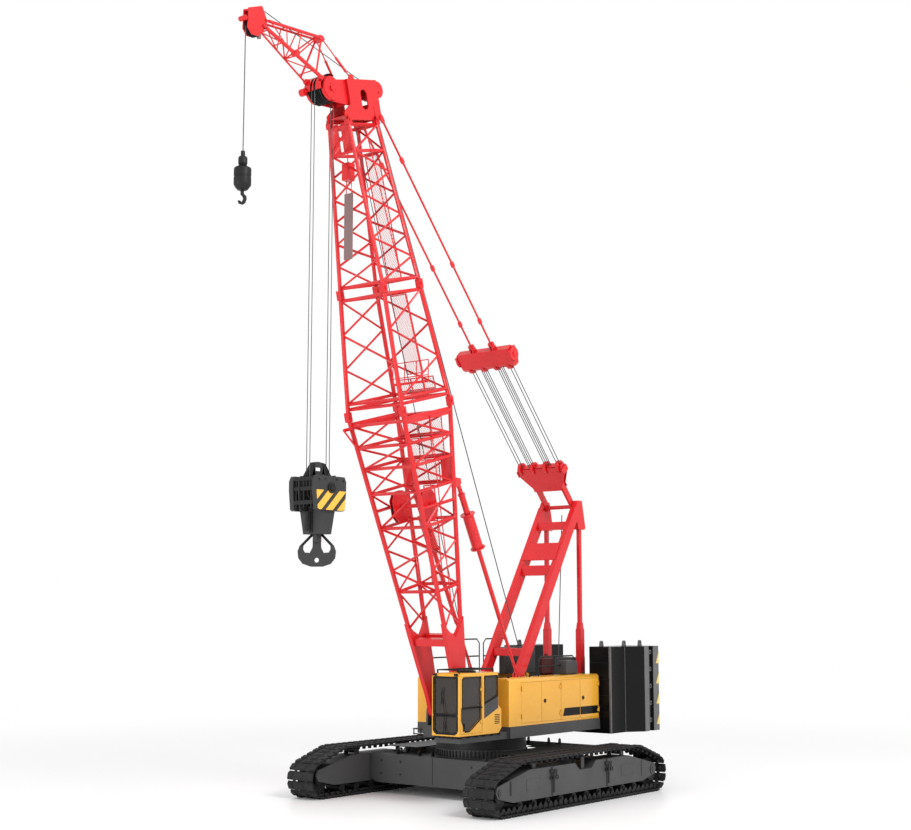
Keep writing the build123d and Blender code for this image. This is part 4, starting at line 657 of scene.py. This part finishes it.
# half of the trapezium: (half width, distance down the line)
block_half = ((0.80, 11.70), (0.80, 11.98), (0.54, 12.42), (0.54, 12.55))
block_outline = block_half + tuple((-x, distance) for x, distance in reversed(block_half))
spacer_places = (-0.69, -0.23, 0.23, 0.69)
bm = bmesh.new()
for off in (-0.125, 0.105):
    flat_plate(bm, [on_line(x, distance, off) for x, distance in block_outline], upwards * 0.02)
for x in spacer_places:
    boss(bm, on_line(x - 0.06, 11.74), 0.12, 0.07, 16)
for side in (-1, 1):
    boss(bm, on_line(side * 0.40, 13.27), side * 0.14, 0.09, 20)
piece("gantry_block_plates", bm, boom_red, "gantry_block")

bm = bmesh.new()
for side in (-1, 1):
    centre = on_line(side * 0.985, 7.70)
    boss(bm, centre, side * 0.012, 0.20, 24)
    boss(bm, centre, side * 0.03, 0.07)
    for cheek in (-1, 1):
        boss(bm, on_line(side * 0.36 + cheek * 0.062, 7.30), cheek * 0.02, 0.055, 16)
for x in spacer_places:
    boss(bm, on_line(x - 0.06, 7.99), 0.12, 0.07, 16)
piece("bridle_caps", bm, boom_red, "bridle")


# ---- backstop springs -----------------------------------------------------------------------
# Coil springs wound of round bar over the backstops' tubes, each under a turned flange.
stop = pin["backstop_pin"]
stop_foot = Vector((0, 0.64, 3.23))
stop_line = (stop_foot - stop).normalized()
stop_x = 0.79
spring_radius, spring_length, spring_turns, turn_steps = 0.130, 0.93, 9, 16
bar_radius = 0.026
for side in (-1, 1):
    top = stop + Vector((side * stop_x, 0, 0))
    axis_point = top + stop_line
    steps = spring_turns * turn_steps
    bm = bmesh.new()
    ring = bmesh.ops.create_circle(bm, cap_ends=False, radius=bar_radius, segments=8)
    outwards = Vector((1, 0, 0))
    upright = stop_line.cross(outwards)
    bmesh.ops.transform(bm, verts=ring["verts"],
                        matrix=Matrix.Translation(axis_point + outwards * spring_radius)
                        @ Matrix((outwards, stop_line, upright)).transposed().to_4x4())
    bmesh.ops.spin(bm, geom=bm.verts[:] + bm.edges[:], cent=axis_point, axis=stop_line,
                   dvec=stop_line * (spring_length / steps), angle=spring_turns * 2 * math.pi,
                   steps=steps, use_merge=False)
    bmesh.ops.holes_fill(bm, edges=[edge for edge in bm.edges if edge.is_boundary])
    # the spring's inner tube and the upper flange: (from, to, radius), down from the pin
    for near_end, far_end, radius in ((0.42, 0.98, 0.085), (0.36, 0.42, 0.10)):
        rod(bm, top + stop_line * near_end, top + stop_line * far_end, radius, 20)
    piece(f"backstop_spring_{'left' if side > 0 else 'right'}", bm, boom_red, "backstop_tubes", 60)


# ---- main hook block ------------------------------------------------------------------------
# Cheek plates bolted over the sheaves, striped on their lower halves, and a forged ramshorn hook
# under a trunnion, its edges rounded by the die, with a flat latch bar to each horn.
def soften(name, width):
    """Rounds a CAD node's sharp edges with a bevel of that width, over its own mesh."""
    node = nodes[name]
    for modifier in list(node.modifiers):
        node.modifiers.remove(modifier)
    weld = node.modifiers.new("weld", "WELD")
    weld.merge_threshold = weld_distance
    round_off = node.modifiers.new("round", "BEVEL")
    round_off.width = width
    round_off.segments = 3
    round_off.limit_method = "ANGLE"
    round_off.angle_limit = math.radians(28)
    round_off.harden_normals = True


cast_grey = enamel("grey forged enamel", "3c3c3d", "313132", "141414", 0.45, 0.0, 0.25)
dress(cast_grey, "main_block", "main_hook")
soften("main_hook", 0.030)
soften("aux_hook", 0.014)
block = Vector((0, main_axle.y, block_axle_z))
# yellow and black stripes at 45 degrees, which repeat every 0.28 m across the slant
stripe_period, black_share = 0.40, 0.38
striped = bpy.data.materials.new("striped hazard enamel")
striped.use_nodes = True
tree = striped.node_tree
paint = tree.nodes["Principled BSDF"]
place = add(tree, "ShaderNodeTexCoord")
parts = add(tree, "ShaderNodeSeparateXYZ", None, {0: (place, "Object")})
slant = add(tree, "ShaderNodeMath", {"operation": "SUBTRACT"}, {0: (parts, "Z"), 1: (parts, "Y")})
count = add(tree, "ShaderNodeMath", {"operation": "DIVIDE", 1: stripe_period}, {0: (slant, 0)})
saw = add(tree, "ShaderNodeMath", {"operation": "FRACT"}, {0: (count, 0)})
edge_of = add(tree, "ShaderNodeMath", {"operation": "GREATER_THAN", 1: black_share}, {0: (saw, 0)})
colour = add(tree, "ShaderNodeMix", {"data_type": "RGBA", 6: linear("2b2a1c"), 7: linear("f0b440")},
             {0: (edge_of, 0)})
tree.links.new(colour.outputs[2], paint.inputs["Base Color"])
paint.inputs["Roughness"].default_value = 0.4
cheek_x = 0.470
# outline of the striped part of a cheek: (depth, height) from the block's axle
stripe_outline = ((-0.48, -0.515), (-0.42, -0.545), (0.42, -0.545), (0.48, -0.515), (0.528, -0.06),
                  (-0.528, -0.06))
for side in (-1, 1):
    bm = bmesh.new()
    flat_plate(bm, [block + Vector((side * cheek_x, dy, dz)) for dy, dz in stripe_outline],
               Vector((side * 0.008, 0, 0)))
    piece(f"block_stripes_{'left' if side > 0 else 'right'}", bm, striped, "main_block")


def at_block(x, y, z):
    """Point given from the middle of the block's axle."""
    return block + Vector((x, y, z))


bm = bmesh.new()
for side in (-1, 1):
    # the axle's collar and end, and four bolts
    face = at_block(side * cheek_x, 0, 0)
    boss(bm, face, side * 0.035, 0.13, 24)
    boss(bm, face, side * 0.055, 0.065, 16)
    for y, z in ((-0.43, 0.2), (0.43, 0.2), (-0.2, 0.22), (0.2, 0.22)):
        boss(bm, face + Vector((0, y, z)), side * 0.02, 0.022, 6)
# three stiffener plates across the front and the rear edge of the cheeks, and three upright ones
for edge in (-1, 1):
    for dz in (-0.36, -0.02, 0.22):
        brick(bm, at_block(-0.33, edge * 0.50 - 0.02, dz - 0.05),
              at_block(0.33, edge * 0.50 + 0.02, dz + 0.05), 0.008)
    for x in (-0.26, 0.0, 0.26):
        brick(bm, at_block(x - 0.02, edge * 0.47 - 0.03, -0.50),
              at_block(x + 0.02, edge * 0.47 + 0.03, 0.28), 0.006)
rod(bm, at_block(0, 0, -1.13), at_block(0, 0, -1.06), 0.20, 24)
# gussets either side of the lifting eye, the bars and plates on the front of the neck
gusset = ((0.50, 0.29), (0.10, 0.29), (0.15, 0.53), (0.12, 0.67), (0.24, 0.65), (0.32, 0.55))
for end in (-1, 1):
    flat_plate(bm, [at_block(-0.03, end * y, z) for y, z in gusset], Vector((0.06, 0, 0)))
    brick(bm, at_block(-0.05, end * 0.20 - 0.04, -1.10), at_block(0.05, end * 0.20 + 0.04, -0.52), 0.01)
brick(bm, at_block(-0.10, -0.36, -1.06), at_block(0.02, -0.30, -0.56), 0.02)
for y, z in ((-0.36, 0.0), (-0.40, -0.5), (0.40, -0.5)):
    boss(bm, at_block(0.36, y, z), 0.04, 0.02, 8)
piece("block_fittings", bm, gear_black, "main_block")
# flat latch bars from the shank's collar out to the tips of the horns
hook_turn = math.radians(38)
across = Vector((math.cos(hook_turn), math.sin(hook_turn), 0))
bm = bmesh.new()
for side in (-1, 1):
    rod(bm, at_block(0, 0, -1.12) + across * side * 0.10, at_block(0, 0, -1.43) + across * side * 0.40,
        0.034, 4)
piece("hook_latches", bm, gear_black, "main_hook")


# ---- auxiliary hook block -------------------------------------------------------------------
# A turned cast-iron weight under a swivel: rounded shoulders, a groove round its middle and a
# bolted collar; the rope's wedge socket is on top.
aux_axis = Vector((0, aux_y, 0))
collar_top = 15.69
# the turned outline, from the socket's top to the underside: (radius, height)
profile = ((0.0, 16.10), (0.050, 16.10), (0.055, 15.98), (0.10, 15.95), (0.112, 15.92),
           (0.112, 15.78), (0.09, 15.765), (0.09, 15.75), (0.112, 15.735), (0.08, 15.71),
           (0.07, 15.695), (0.17, collar_top), (0.205, 15.67), (0.213, 15.64), (0.213, 15.48),
           (0.203, 15.47), (0.203, 15.44), (0.213, 15.43), (0.213, 15.27), (0.20, 15.23),
           (0.13, 15.135), (0.10, 15.122), (0.0, 15.122))
bm = bmesh.new()
verts = [bm.verts.new((radius, aux_y, z)) for radius, z in profile]
edges = [bm.edges.new(pair) for pair in zip(verts, verts[1:])]
bmesh.ops.spin(bm, geom=verts + edges, cent=aux_axis, axis=(0, 0, 1), angle=2 * math.pi, steps=28,
               use_merge=True)
bmesh.ops.remove_doubles(bm, verts=bm.verts, dist=0.0005)
for number in range(6):
    angle = number * math.pi / 3 + 0.2
    spot = aux_axis + Vector((0.10 * math.cos(angle), 0.10 * math.sin(angle), collar_top))
    rod(bm, spot, spot + Vector((0, 0, 0.02)), 0.012, 6)
weight = piece("aux_weight", bm, gear_black, "aux_block", 40)
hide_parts("aux_block")


# ---- counterweight --------------------------------------------------------------------------
# Stacked cast slabs: grey machined edges at the corners, a recess with tie links, and pale
# yellow reflector triangles down the rear edge of each side.
edge_grey = enamel("machined edge enamel", "6d6d6d", "5c5c5d", "242424", 0.5, 0.0, 0.3)
pale_yellow = enamel("pale yellow reflector", "e6d089", "dcc272", "8a7a40", 0.5, 0.0, 0.3)
stack_low, stack_high = 1.502, 3.998
stack_front, stack_rear = 3.694, 5.846
stack_side = 2.276
edges_bm = bmesh.new()
marks = bmesh.new()
seams = bmesh.new()
for side in (-1, 1):
    # strips down the outer corners of the stack's narrower front part: (x, y, width, depth)
    for x, y, wide, deep in ((1.93, 3.70, 0.05, 0.05), (1.93, 4.50, 0.03, 0.04)):
        brick(edges_bm, (side * (x - wide), y - 0.006, stack_low),
              (side * (x + 0.006), y + deep, stack_high), 0.003)
    for y_from, y_to in ((5.035, 5.285), (5.535, 5.848)):
        brick(edges_bm, (side * stack_side, y_from, stack_low),
              (side * (stack_side + 0.012), y_to, stack_high), 0.003)
    for number in range(4):
        z = 1.84 + number * 0.60
        low, high = z - 0.16, z + 0.19
        beside = [Vector((side * 2.286, y, z)) for y, z in ((5.852, low), (5.852, high), (5.68, low))]
        behind = [Vector((side * x, stack_rear, z)) for x, z in ((2.29, low), (2.29, high), (2.10, low))]
        flat_plate(marks, beside, Vector((side * 0.008, 0, 0)))
        flat_plate(marks, behind, Vector((0, 0.008, 0)))
    # the joints between the slabs, drawn on the front and the rear face
    for number in range(1, 5):
        z = 1.64 + number * 0.472
        for outer, y, deep in ((1.925, stack_front, 0.010), (2.27, stack_rear, 0.008)):
            brick(seams, (side * 1.2, y, z - 0.006), (side * outer, y + deep, z + 0.006))
piece("counterweight_edges", edges_bm, edge_grey, "upper")
piece("counterweight_marks", marks, pale_yellow, "upper")
piece("counterweight_seams", seams, gear_black, "upper")

# tie links down the recess in each side, between round bosses
boss_y, boss_gap, boss_count = 5.41, 0.5, 5
bm = bmesh.new()
for side in (-1, 1):
    for number in range(boss_count):
        z = 1.82 + number * boss_gap
        if number < boss_count - 1:
            brick(bm, (side * 2.20, boss_y - 0.025, z + 0.06),
                  (side * 2.235, boss_y + 0.025, z + 0.44), 0.008)
        boss(bm, (side * 2.25, boss_y, z), side * 0.022, 0.03, 10)
piece("counterweight_chain", bm, gear_black, "upper")


# ---- house fittings -------------------------------------------------------------------------
# Slam latches in round cups and a blank sign plate on the doors, boxes for the cooler, the filter
# and the silencer with their louvres, and bolts and lifting eyes on the roofs.
house_side = 1.6
roof = 3.22
latch_z = 2.57
sign_low, sign_high = 2.10, 2.32
for side, mark in ((1, "left"), (-1, "right")):
    for y, number in ((0.83, 2), (2.74, 4)):
        bm = bmesh.new()
        boss(bm, (side * 1.601, y, latch_z), side * 0.011, 0.055, 20)
        brick(bm, (side * 1.608, y - 0.035, latch_z - 0.02),
              (side * 1.622, y + 0.035, latch_z + 0.02), 0.004)
        piece(f"latch_{mark}_{number}", bm, gear_black, f"house_door_{mark}_{number}")
    # the sign plate, a parallelogram, is split at the edge between the last two doors:
    # (front and rear end of the lower edge, the same of the upper edge, door)
    for (low_front, low_rear), (high_front, high_rear), number in (
            ((1.71, 2.574), (1.79, 2.574), 3), ((2.606, 3.54), (2.606, 3.50), 4)):
        bm = bmesh.new()
        flat_plate(bm, [Vector((side * (house_side + 0.0005), y, z)) for y, z in
                        ((low_front, sign_low), (low_rear, sign_low),
                         (high_rear, sign_high), (high_front, sign_high))], Vector((side * 0.004, 0, 0)))
        piece(f"blank_sign_{mark}_{number}", bm, slab_black, f"house_door_{mark}_{number}")

bm = bmesh.new()
for box_low, box_high, bevel in (
        ((-0.93, 1.0, 1.95), (-0.60, 3.55, 2.72), 0.02),        # tanks along the houses' inner walls
        ((0.60, 1.0, 1.95), (0.93, 3.55, 2.72), 0.02),
        ((-1.35, 0.2, roof), (-1.0, 1.1, 3.30), 0.02),          # cooler on the right roof
        ((0.97, 2.42, 3.225), (1.26, 2.98, 3.60), 0.02),        # tank on the left roof, and its lid
        ((0.99, 2.44, 3.60), (1.24, 2.96, 3.625), 0.006),
        ((-0.58, 1.60, 3.23), (-0.36, 3.15, 4.0), 0.02)):       # silencer housing in the gantry
    brick(bm, box_low, box_high, bevel)
for number in range(7):
    y = 0.26 + number * 0.12
    brick(bm, (-1.32, y, 3.30), (-1.03, y + 0.05, 3.325), 0.004)
for number in range(4):
    y = 1.70 + number * 0.37
    brick(bm, (-0.365, y, 3.33), (-0.352, y + 0.28, 3.92), 0.004)
piece("deck_boxes", bm, chassis_grey, "upper")
primer_red = enamel("oxide red primer", "4a1c1e", "3a1517", "1c0a0b", 0.5, 0.0, 0.3)
filter_top = 3.74
bm = bmesh.new()
brick(bm, (0.74, 1.75, roof), (0.92, 2.30, filter_top), 0.06)
rod(bm, (0.83, 2.0, filter_top), (0.83, 2.0, filter_top + 0.08), 0.05, 16)
piece("filter_box", bm, primer_red, "upper")

# bolts along the left roof, lifting eyes on both, and a strip down each house's front corner
bm = bmesh.new()
eye_places = [(side * 1.25, y, 0.055, 0.03, 10) for side in (-1, 1) for y in (-0.4, 0.6, 3.3)]
bolt_places = [(x, y, 0.025, 0.018, 8) for x in (1.02, 1.12) for y in (-0.55, 0.35, 1.2, 3.35)]
for x, y, height, radius, sides in bolt_places + eye_places:
    rod(bm, (x, y, roof - 0.005), (x, y, roof - 0.005 + height), radius, sides)
for side in (-1, 1):
    brick(bm, (side * (house_side - 0.002), -0.86, 1.64), (side * (house_side + 0.004), -0.80, 1.95))
piece("roof_bosses", bm, gear_black, "upper")


# ---- cab ------------------------------------------------------------------------------------
# Pressed steel cab with black rubber glazing seals, a grey skirt under the rear window, a louvre,
# two wipers, work lamps, a roof guard with its grille, and a step on the other side.
def seal(bm, outline, width, push):
    """Band of that width inside an outline, pushed along a vector."""
    face = bm.faces.new([bm.verts.new(point) for point in outline])
    face.normal_update()
    band = bmesh.ops.inset_individual(bm, faces=[face], thickness=width, use_even_offset=True)["faces"]
    bmesh.ops.delete(bm, geom=[face], context="FACES")
    thicken(bm, band, push)


rubber = enamel("black glazing rubber", "1b1b1c", "141415", "0a0a0a", 0.6, 0.0, 0.2)
front_y, side_x = -3.018, 1.5985        # a hair in front of the front panes, outside the side panes
pane_left, pane_right, pane_corner = 0.735, 1.565, 0.03
seal_depth = Vector((0, -0.012, 0))
side_depth = Vector((0.010, 0, 0))
bm = bmesh.new()
# the upper and the lower front pane: (sill, head, cut of the lower corners)
for sill, top, cut in ((2.355, 3.355, 0.03), (1.865, 2.365, 0.10)):
    seal(bm, [Vector((x, front_y, z)) for x, z in
              ((pane_left + cut, sill), (pane_right - cut, sill), (pane_right, sill + cut),
               (pane_right, top - pane_corner), (pane_right - pane_corner, top),
               (pane_left + pane_corner, top), (pane_left, top - pane_corner), (pane_left, sill + cut))],
         0.045, seal_depth)
# outlines on the cab's left side: (y, height)
rear_pane = ((-1.955, 2.60), (-1.345, 2.79), (-1.345, 3.35), (-1.955, 3.35))
upper_door_pane = ((-2.90, 2.545), (-2.08, 2.545), (-2.08, 3.335), (-2.84, 3.335), (-2.90, 3.28))
lower_door_pane = ((-2.93, 2.225), (-2.78, 1.925), (-2.59, 1.925), (-2.08, 2.235), (-2.08, 2.55),
                   (-2.93, 2.55))
skirt = ((-1.955, 2.235), (-1.345, 2.485), (-1.345, 2.79), (-1.955, 2.60))
seal(bm, [Vector((side_x, *point)) for point in rear_pane], 0.035, side_depth)
piece("cab_seals", bm, rubber, "upper")
bm = bmesh.new()
for outline in (upper_door_pane, lower_door_pane):
    seal(bm, [Vector((side_x, *point)) for point in outline], 0.030, side_depth)
# the door's handle and its grab plate
brick(bm, (1.60, -2.20, 2.52), (1.635, -2.06, 2.555), 0.006)
brick(bm, (1.60, -2.86, 1.96), (1.625, -2.80, 2.16), 0.010)
piece("door_seals", bm, rubber, "cab_door")
bm = bmesh.new()
flat_plate(bm, [Vector((side_x + 0.001, *point)) for point in skirt], Vector((0.006, 0, 0)))
piece("cab_skirt", bm, chassis_grey, "upper")

# six slats of the louvre behind the skirt
bm = bmesh.new()
for number in range(6):
    z = 2.08 + number * 0.045
    brick(bm, (1.598, -1.50, z), (1.609, -1.28, z + 0.018), 0.003)
# wipers: an arm and a blade on each front pane, from a pivot, leaning by tilt
for x, z, reach, tilt in ((1.15, 2.36, 0.62, 0.22), (1.2, 1.90, 0.30, 0.35)):
    lean = Vector((-reach * math.sin(tilt), 0, reach * math.cos(tilt)))
    pivot = Vector((x, -3.04, z))
    rod(bm, pivot, pivot + lean + Vector((0, -0.005, 0)), 0.009, 6)
    middle = pivot + lean * 0.8
    rod(bm, middle - Vector((0.02, 0, 0.22)), middle + Vector((0.02, 0, 0.22)), 0.011, 6)
# roof guard's grille and its hatch ring
for number in range(9):
    boss(bm, (0.80, -2.75 + number * 0.145, 3.515), 0.70, 0.008, 6)
rod(bm, (1.15, -2.15, 3.43), (1.15, -2.15, 3.475), 0.26, 24)
# work lamps under the roof edge
for x in (0.80, 1.50):
    brick(bm, (x - 0.05, -3.06, 3.37), (x + 0.05, -2.99, 3.43), 0.012)
# rubber mounts under the floor's outer and front edge, and the floor's frame, a black slab that also paints the shade
# under the cab
mount_top = 1.832
for number in range(6):
    y = -2.95 + number * 0.33
    x = 0.74 + number * 0.145
    brick(bm, (1.46, y, 1.77), (1.56, y + 0.12, mount_top), 0.008)
    brick(bm, (x, -3.01, 1.775), (x + 0.06, -2.93, mount_top), 0.008)
# the floor's frame, made black as painted shade under the cab
brick(bm, (0.74, -3.0, 1.80), (1.58, -1.30, mount_top - 0.001), 0.006)
piece("cab_fittings", bm, rubber, "upper")

# step in front of the right house, on three stays
step_y, step_z = -1.50, 1.80
bm = bmesh.new()
brick(bm, (-1.23, -1.52, step_z), (-0.70, -1.12, step_z + 0.03), 0.006)
for x in (-1.2, -0.95, -0.72):
    rod(bm, (x, step_y, 1.66), (x, step_y, step_z), 0.016, 8)
boss(bm, (-1.22, step_y, 1.68), 0.52, 0.016, 8)
piece("side_step", bm, gear_black, "upper")


# ---- driver's seat --------------------------------------------------------------------------
# Foam cushions under woven cloth, rounded by their stuffing, on a sprung base between two lever
# consoles that are bolted to the cab's floor. The cloth is dull, and close to black.
seat_cloth = enamel("woven seat cloth", "1e1f22", "17181a", "0c0c0d", 0.9, 0.0, 0.1)
dress(seat_cloth, "cab_seat")
seat_x = 1.15
cab_floor = 1.882
seat_pieces = []
for name, low, high, lean in (("seat_cushion", (-0.235, -2.28, 2.32), (0.235, -1.80, 2.435), 0.0),
                              ("seat_back", (-0.225, -1.86, 2.445), (0.225, -1.76, 2.94), 0.16)):
    bm = bmesh.new()
    brick(bm, low, high, 0.045, Matrix.Translation((seat_x, 0, 0)))
    bmesh.ops.subdivide_edges(bm, edges=bm.edges, cuts=2, use_grid_fill=True)
    for _ in range(3):
        bmesh.ops.smooth_vert(bm, verts=bm.verts, factor=0.5, use_axis_x=True, use_axis_y=True,
                              use_axis_z=True)
    if lean:
        bmesh.ops.rotate(bm, verts=bm.verts, cent=(seat_x, -1.80, 2.45),
                         matrix=Matrix.Rotation(-lean, 3, "X"))
    pad = piece(name, bm, seat_cloth, "upper", 80)
    seat_pieces.append(pad)
bm = bmesh.new()
brick(bm, (seat_x - 0.15, -2.14, cab_floor), (seat_x + 0.15, -1.84, 2.30), 0.02)
for side in (-1, 1):
    x = seat_x + side * 0.33
    brick(bm, (x - 0.065, -2.34, cab_floor), (x + 0.065, -1.72, 2.50), 0.02)
    rod(bm, (x, -2.25, 2.50), (x, -2.27, 2.68), 0.012, 8)
    rod(bm, (x, -2.27, 2.66), (x, -2.275, 2.74), 0.024, 12, 0.8)
seat_pieces.append(piece("seat_base", bm, gear_black, "upper"))
for made in seat_pieces:
    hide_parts("cab_seat")


# ---- undercarriage fittings -----------------------------------------------------------------
# A black band round the slewing ring, painted shade under the house, and the ring's teeth,
# brackets with curled eyes on the side frames' ribs, axle caps, black plates painted as shade in
# the track adjuster slots, inspection plates, and plates with lifting lugs on the carbody.
ring_radius, shade_band_top_radius = 1.262, 1.245
shade_band_height, shade_band_middle = 0.34, 1.468
tooth_count = 72
# a black band round the slewing ring: painted shade under the house, where the grey ring would show
bm = bmesh.new()
bmesh.ops.create_cone(bm, cap_ends=False, segments=tooth_count, radius1=ring_radius,
                      radius2=shade_band_top_radius, depth=shade_band_height,
                      matrix=Matrix.Translation((0, 0, shade_band_middle)))
bmesh.ops.solidify(bm, geom=bm.faces[:], thickness=0.02)
piece("ring_shade_band", bm, gear_black, "upper")
bm = bmesh.new()
for number in range(tooth_count):
    turned = Matrix.Rotation(number * 2 * math.pi / tooth_count, 4, "Z")
    brick(bm, (ring_radius, -0.026, 1.10), (ring_radius + 0.03, 0.026, 1.27), 0.006, turned)
piece("ring_teeth", bm, gear_black, "undercarriage")

frame_face = 3.355
axle_z = 0.60
roller_z, roller_gap, roller_count = 0.2117, 0.6, 10
link_pitch, link_count = 0.2257, 34
plate_z = 0.70
# outline of a link's side plate, standing up between the shoes' ends: (along, height)
link_plate = ((-0.10, 0.085), (0.10, 0.085), (0.085, 0.15), (0.02, 0.235), (-0.05, 0.20), (-0.085, 0.13))
bm = bmesh.new()
dark = bmesh.new()
for side in (-1, 1):
    for y in (-1.34, 1.26):
        rib = side * (frame_face + 0.028)
        for half_width, low, high in ((0.16, 0.93, 1.0), (0.03, 0.42, 0.98)):
            brick(dark, (rib, y - half_width, low), (rib + side * 0.02, y + half_width, high), 0.008)
        for end in (-1, 1):
            eye = Vector((rib + side * 0.012, y + end * 0.13, 0.80))
            bmesh.ops.create_cone(dark, cap_ends=False, segments=14, radius1=0.055, radius2=0.055, depth=0.03,
                                  matrix=Matrix.Translation(eye) @ Matrix.Rotation(math.pi / 2, 4, "Y"))
            rod(dark, eye + Vector((0, 0, 0.06)), eye + Vector((0, -end * 0.04, 0.15)), 0.012, 6)
    # axle caps of idler and sprocket, and beside them black plates that paint the shade in the slots
    for y, radius in ((-3.6, 0.10), (3.6, 0.13)):
        boss(bm, (side * 3.354, y, axle_z), side * 0.021, radius, 20)
        boss(bm, (side * 3.354, y, axle_z), side * 0.036, radius * 0.5)
    for y_from, y_to, low, high in ((-3.22, -3.14, 0.50, 0.86), (2.98, 3.02, 0.46, 0.90)):
        brick(dark, (side * 3.350, y_from, low), (side * 3.357, y_to, high))
    # inspection plates with their bolts
    for y in (-2.2, 2.25):
        brick(bm, (side * 3.353, y - 0.31, plate_z - 0.15), (side * 3.362, y + 0.31, plate_z + 0.15), 0.003)
        for dy in (-0.26, 0.26):
            for dz in (-0.11, 0.11):
                boss(bm, (side * 3.36, y + dy, plate_z + dz), side * 0.01, 0.014, 6)
    for number in range(roller_count):
        y = (number - (roller_count - 1) / 2) * roller_gap
        boss(dark, (side * 3.30, y, roller_z), side * 0.045, 0.05)
    for number in range(link_count):
        y = (number - (link_count - 1) / 2) * link_pitch
        flat_plate(dark, [Vector((side * 3.352, y + dy, z)) for dy, z in link_plate],
                   Vector((side * 0.02, 0, 0)))
piece("frame_fittings", bm, chassis_grey, "undercarriage")
piece("frame_brackets", dark, gear_black, "undercarriage")

# plates on the carbody round the slewing ring, with rows of lifting lugs behind and in front
deck_low, deck_high = 1.262, 1.285
bm = bmesh.new()
for low, high in (((-2.45, -1.2), (-1.33, 2.45)), ((1.33, -1.2), (2.45, 2.45)), ((-1.33, 1.36), (1.33, 2.45)),
                  ((-1.33, 0.95), (-0.90, 1.36)), ((0.90, 0.95), (1.33, 1.36))):
    brick(bm, (*low, deck_low), (*high, deck_high), 0.004)
lug = ((-0.06, 0.0), (0.06, 0.0), (0.05, 0.10), (0.0, 0.14), (-0.05, 0.10))
for y, z, lug_places in ((2.40, 1.28, (-1.6, -0.1, 0.62, 1.0)), (-1.45, 1.09, (-1.81, -1.03, -0.56, 1.3))):
    for x in lug_places:
        flat_plate(bm, [Vector((x - 0.012, y + dy, z + dz)) for dy, dz in lug], Vector((0.024, 0, 0)))
piece("deck_plates", bm, gear_black, "undercarriage")

# a bar and six bolts on the carbody's front
bolt_front, bolt_back = -1.61, -1.595
bm = bmesh.new()
brick(bm, (-0.462, -1.606, 0.34), (-0.446, -1.598, 1.07), 0.002)
for x in (-2.3, -1.6, 0.9):
    for z in (0.55, 0.9):
        rod(bm, (x, bolt_front, z), (x, bolt_back, z), 0.03)
piece("carbody_details", bm, gear_black, "undercarriage")
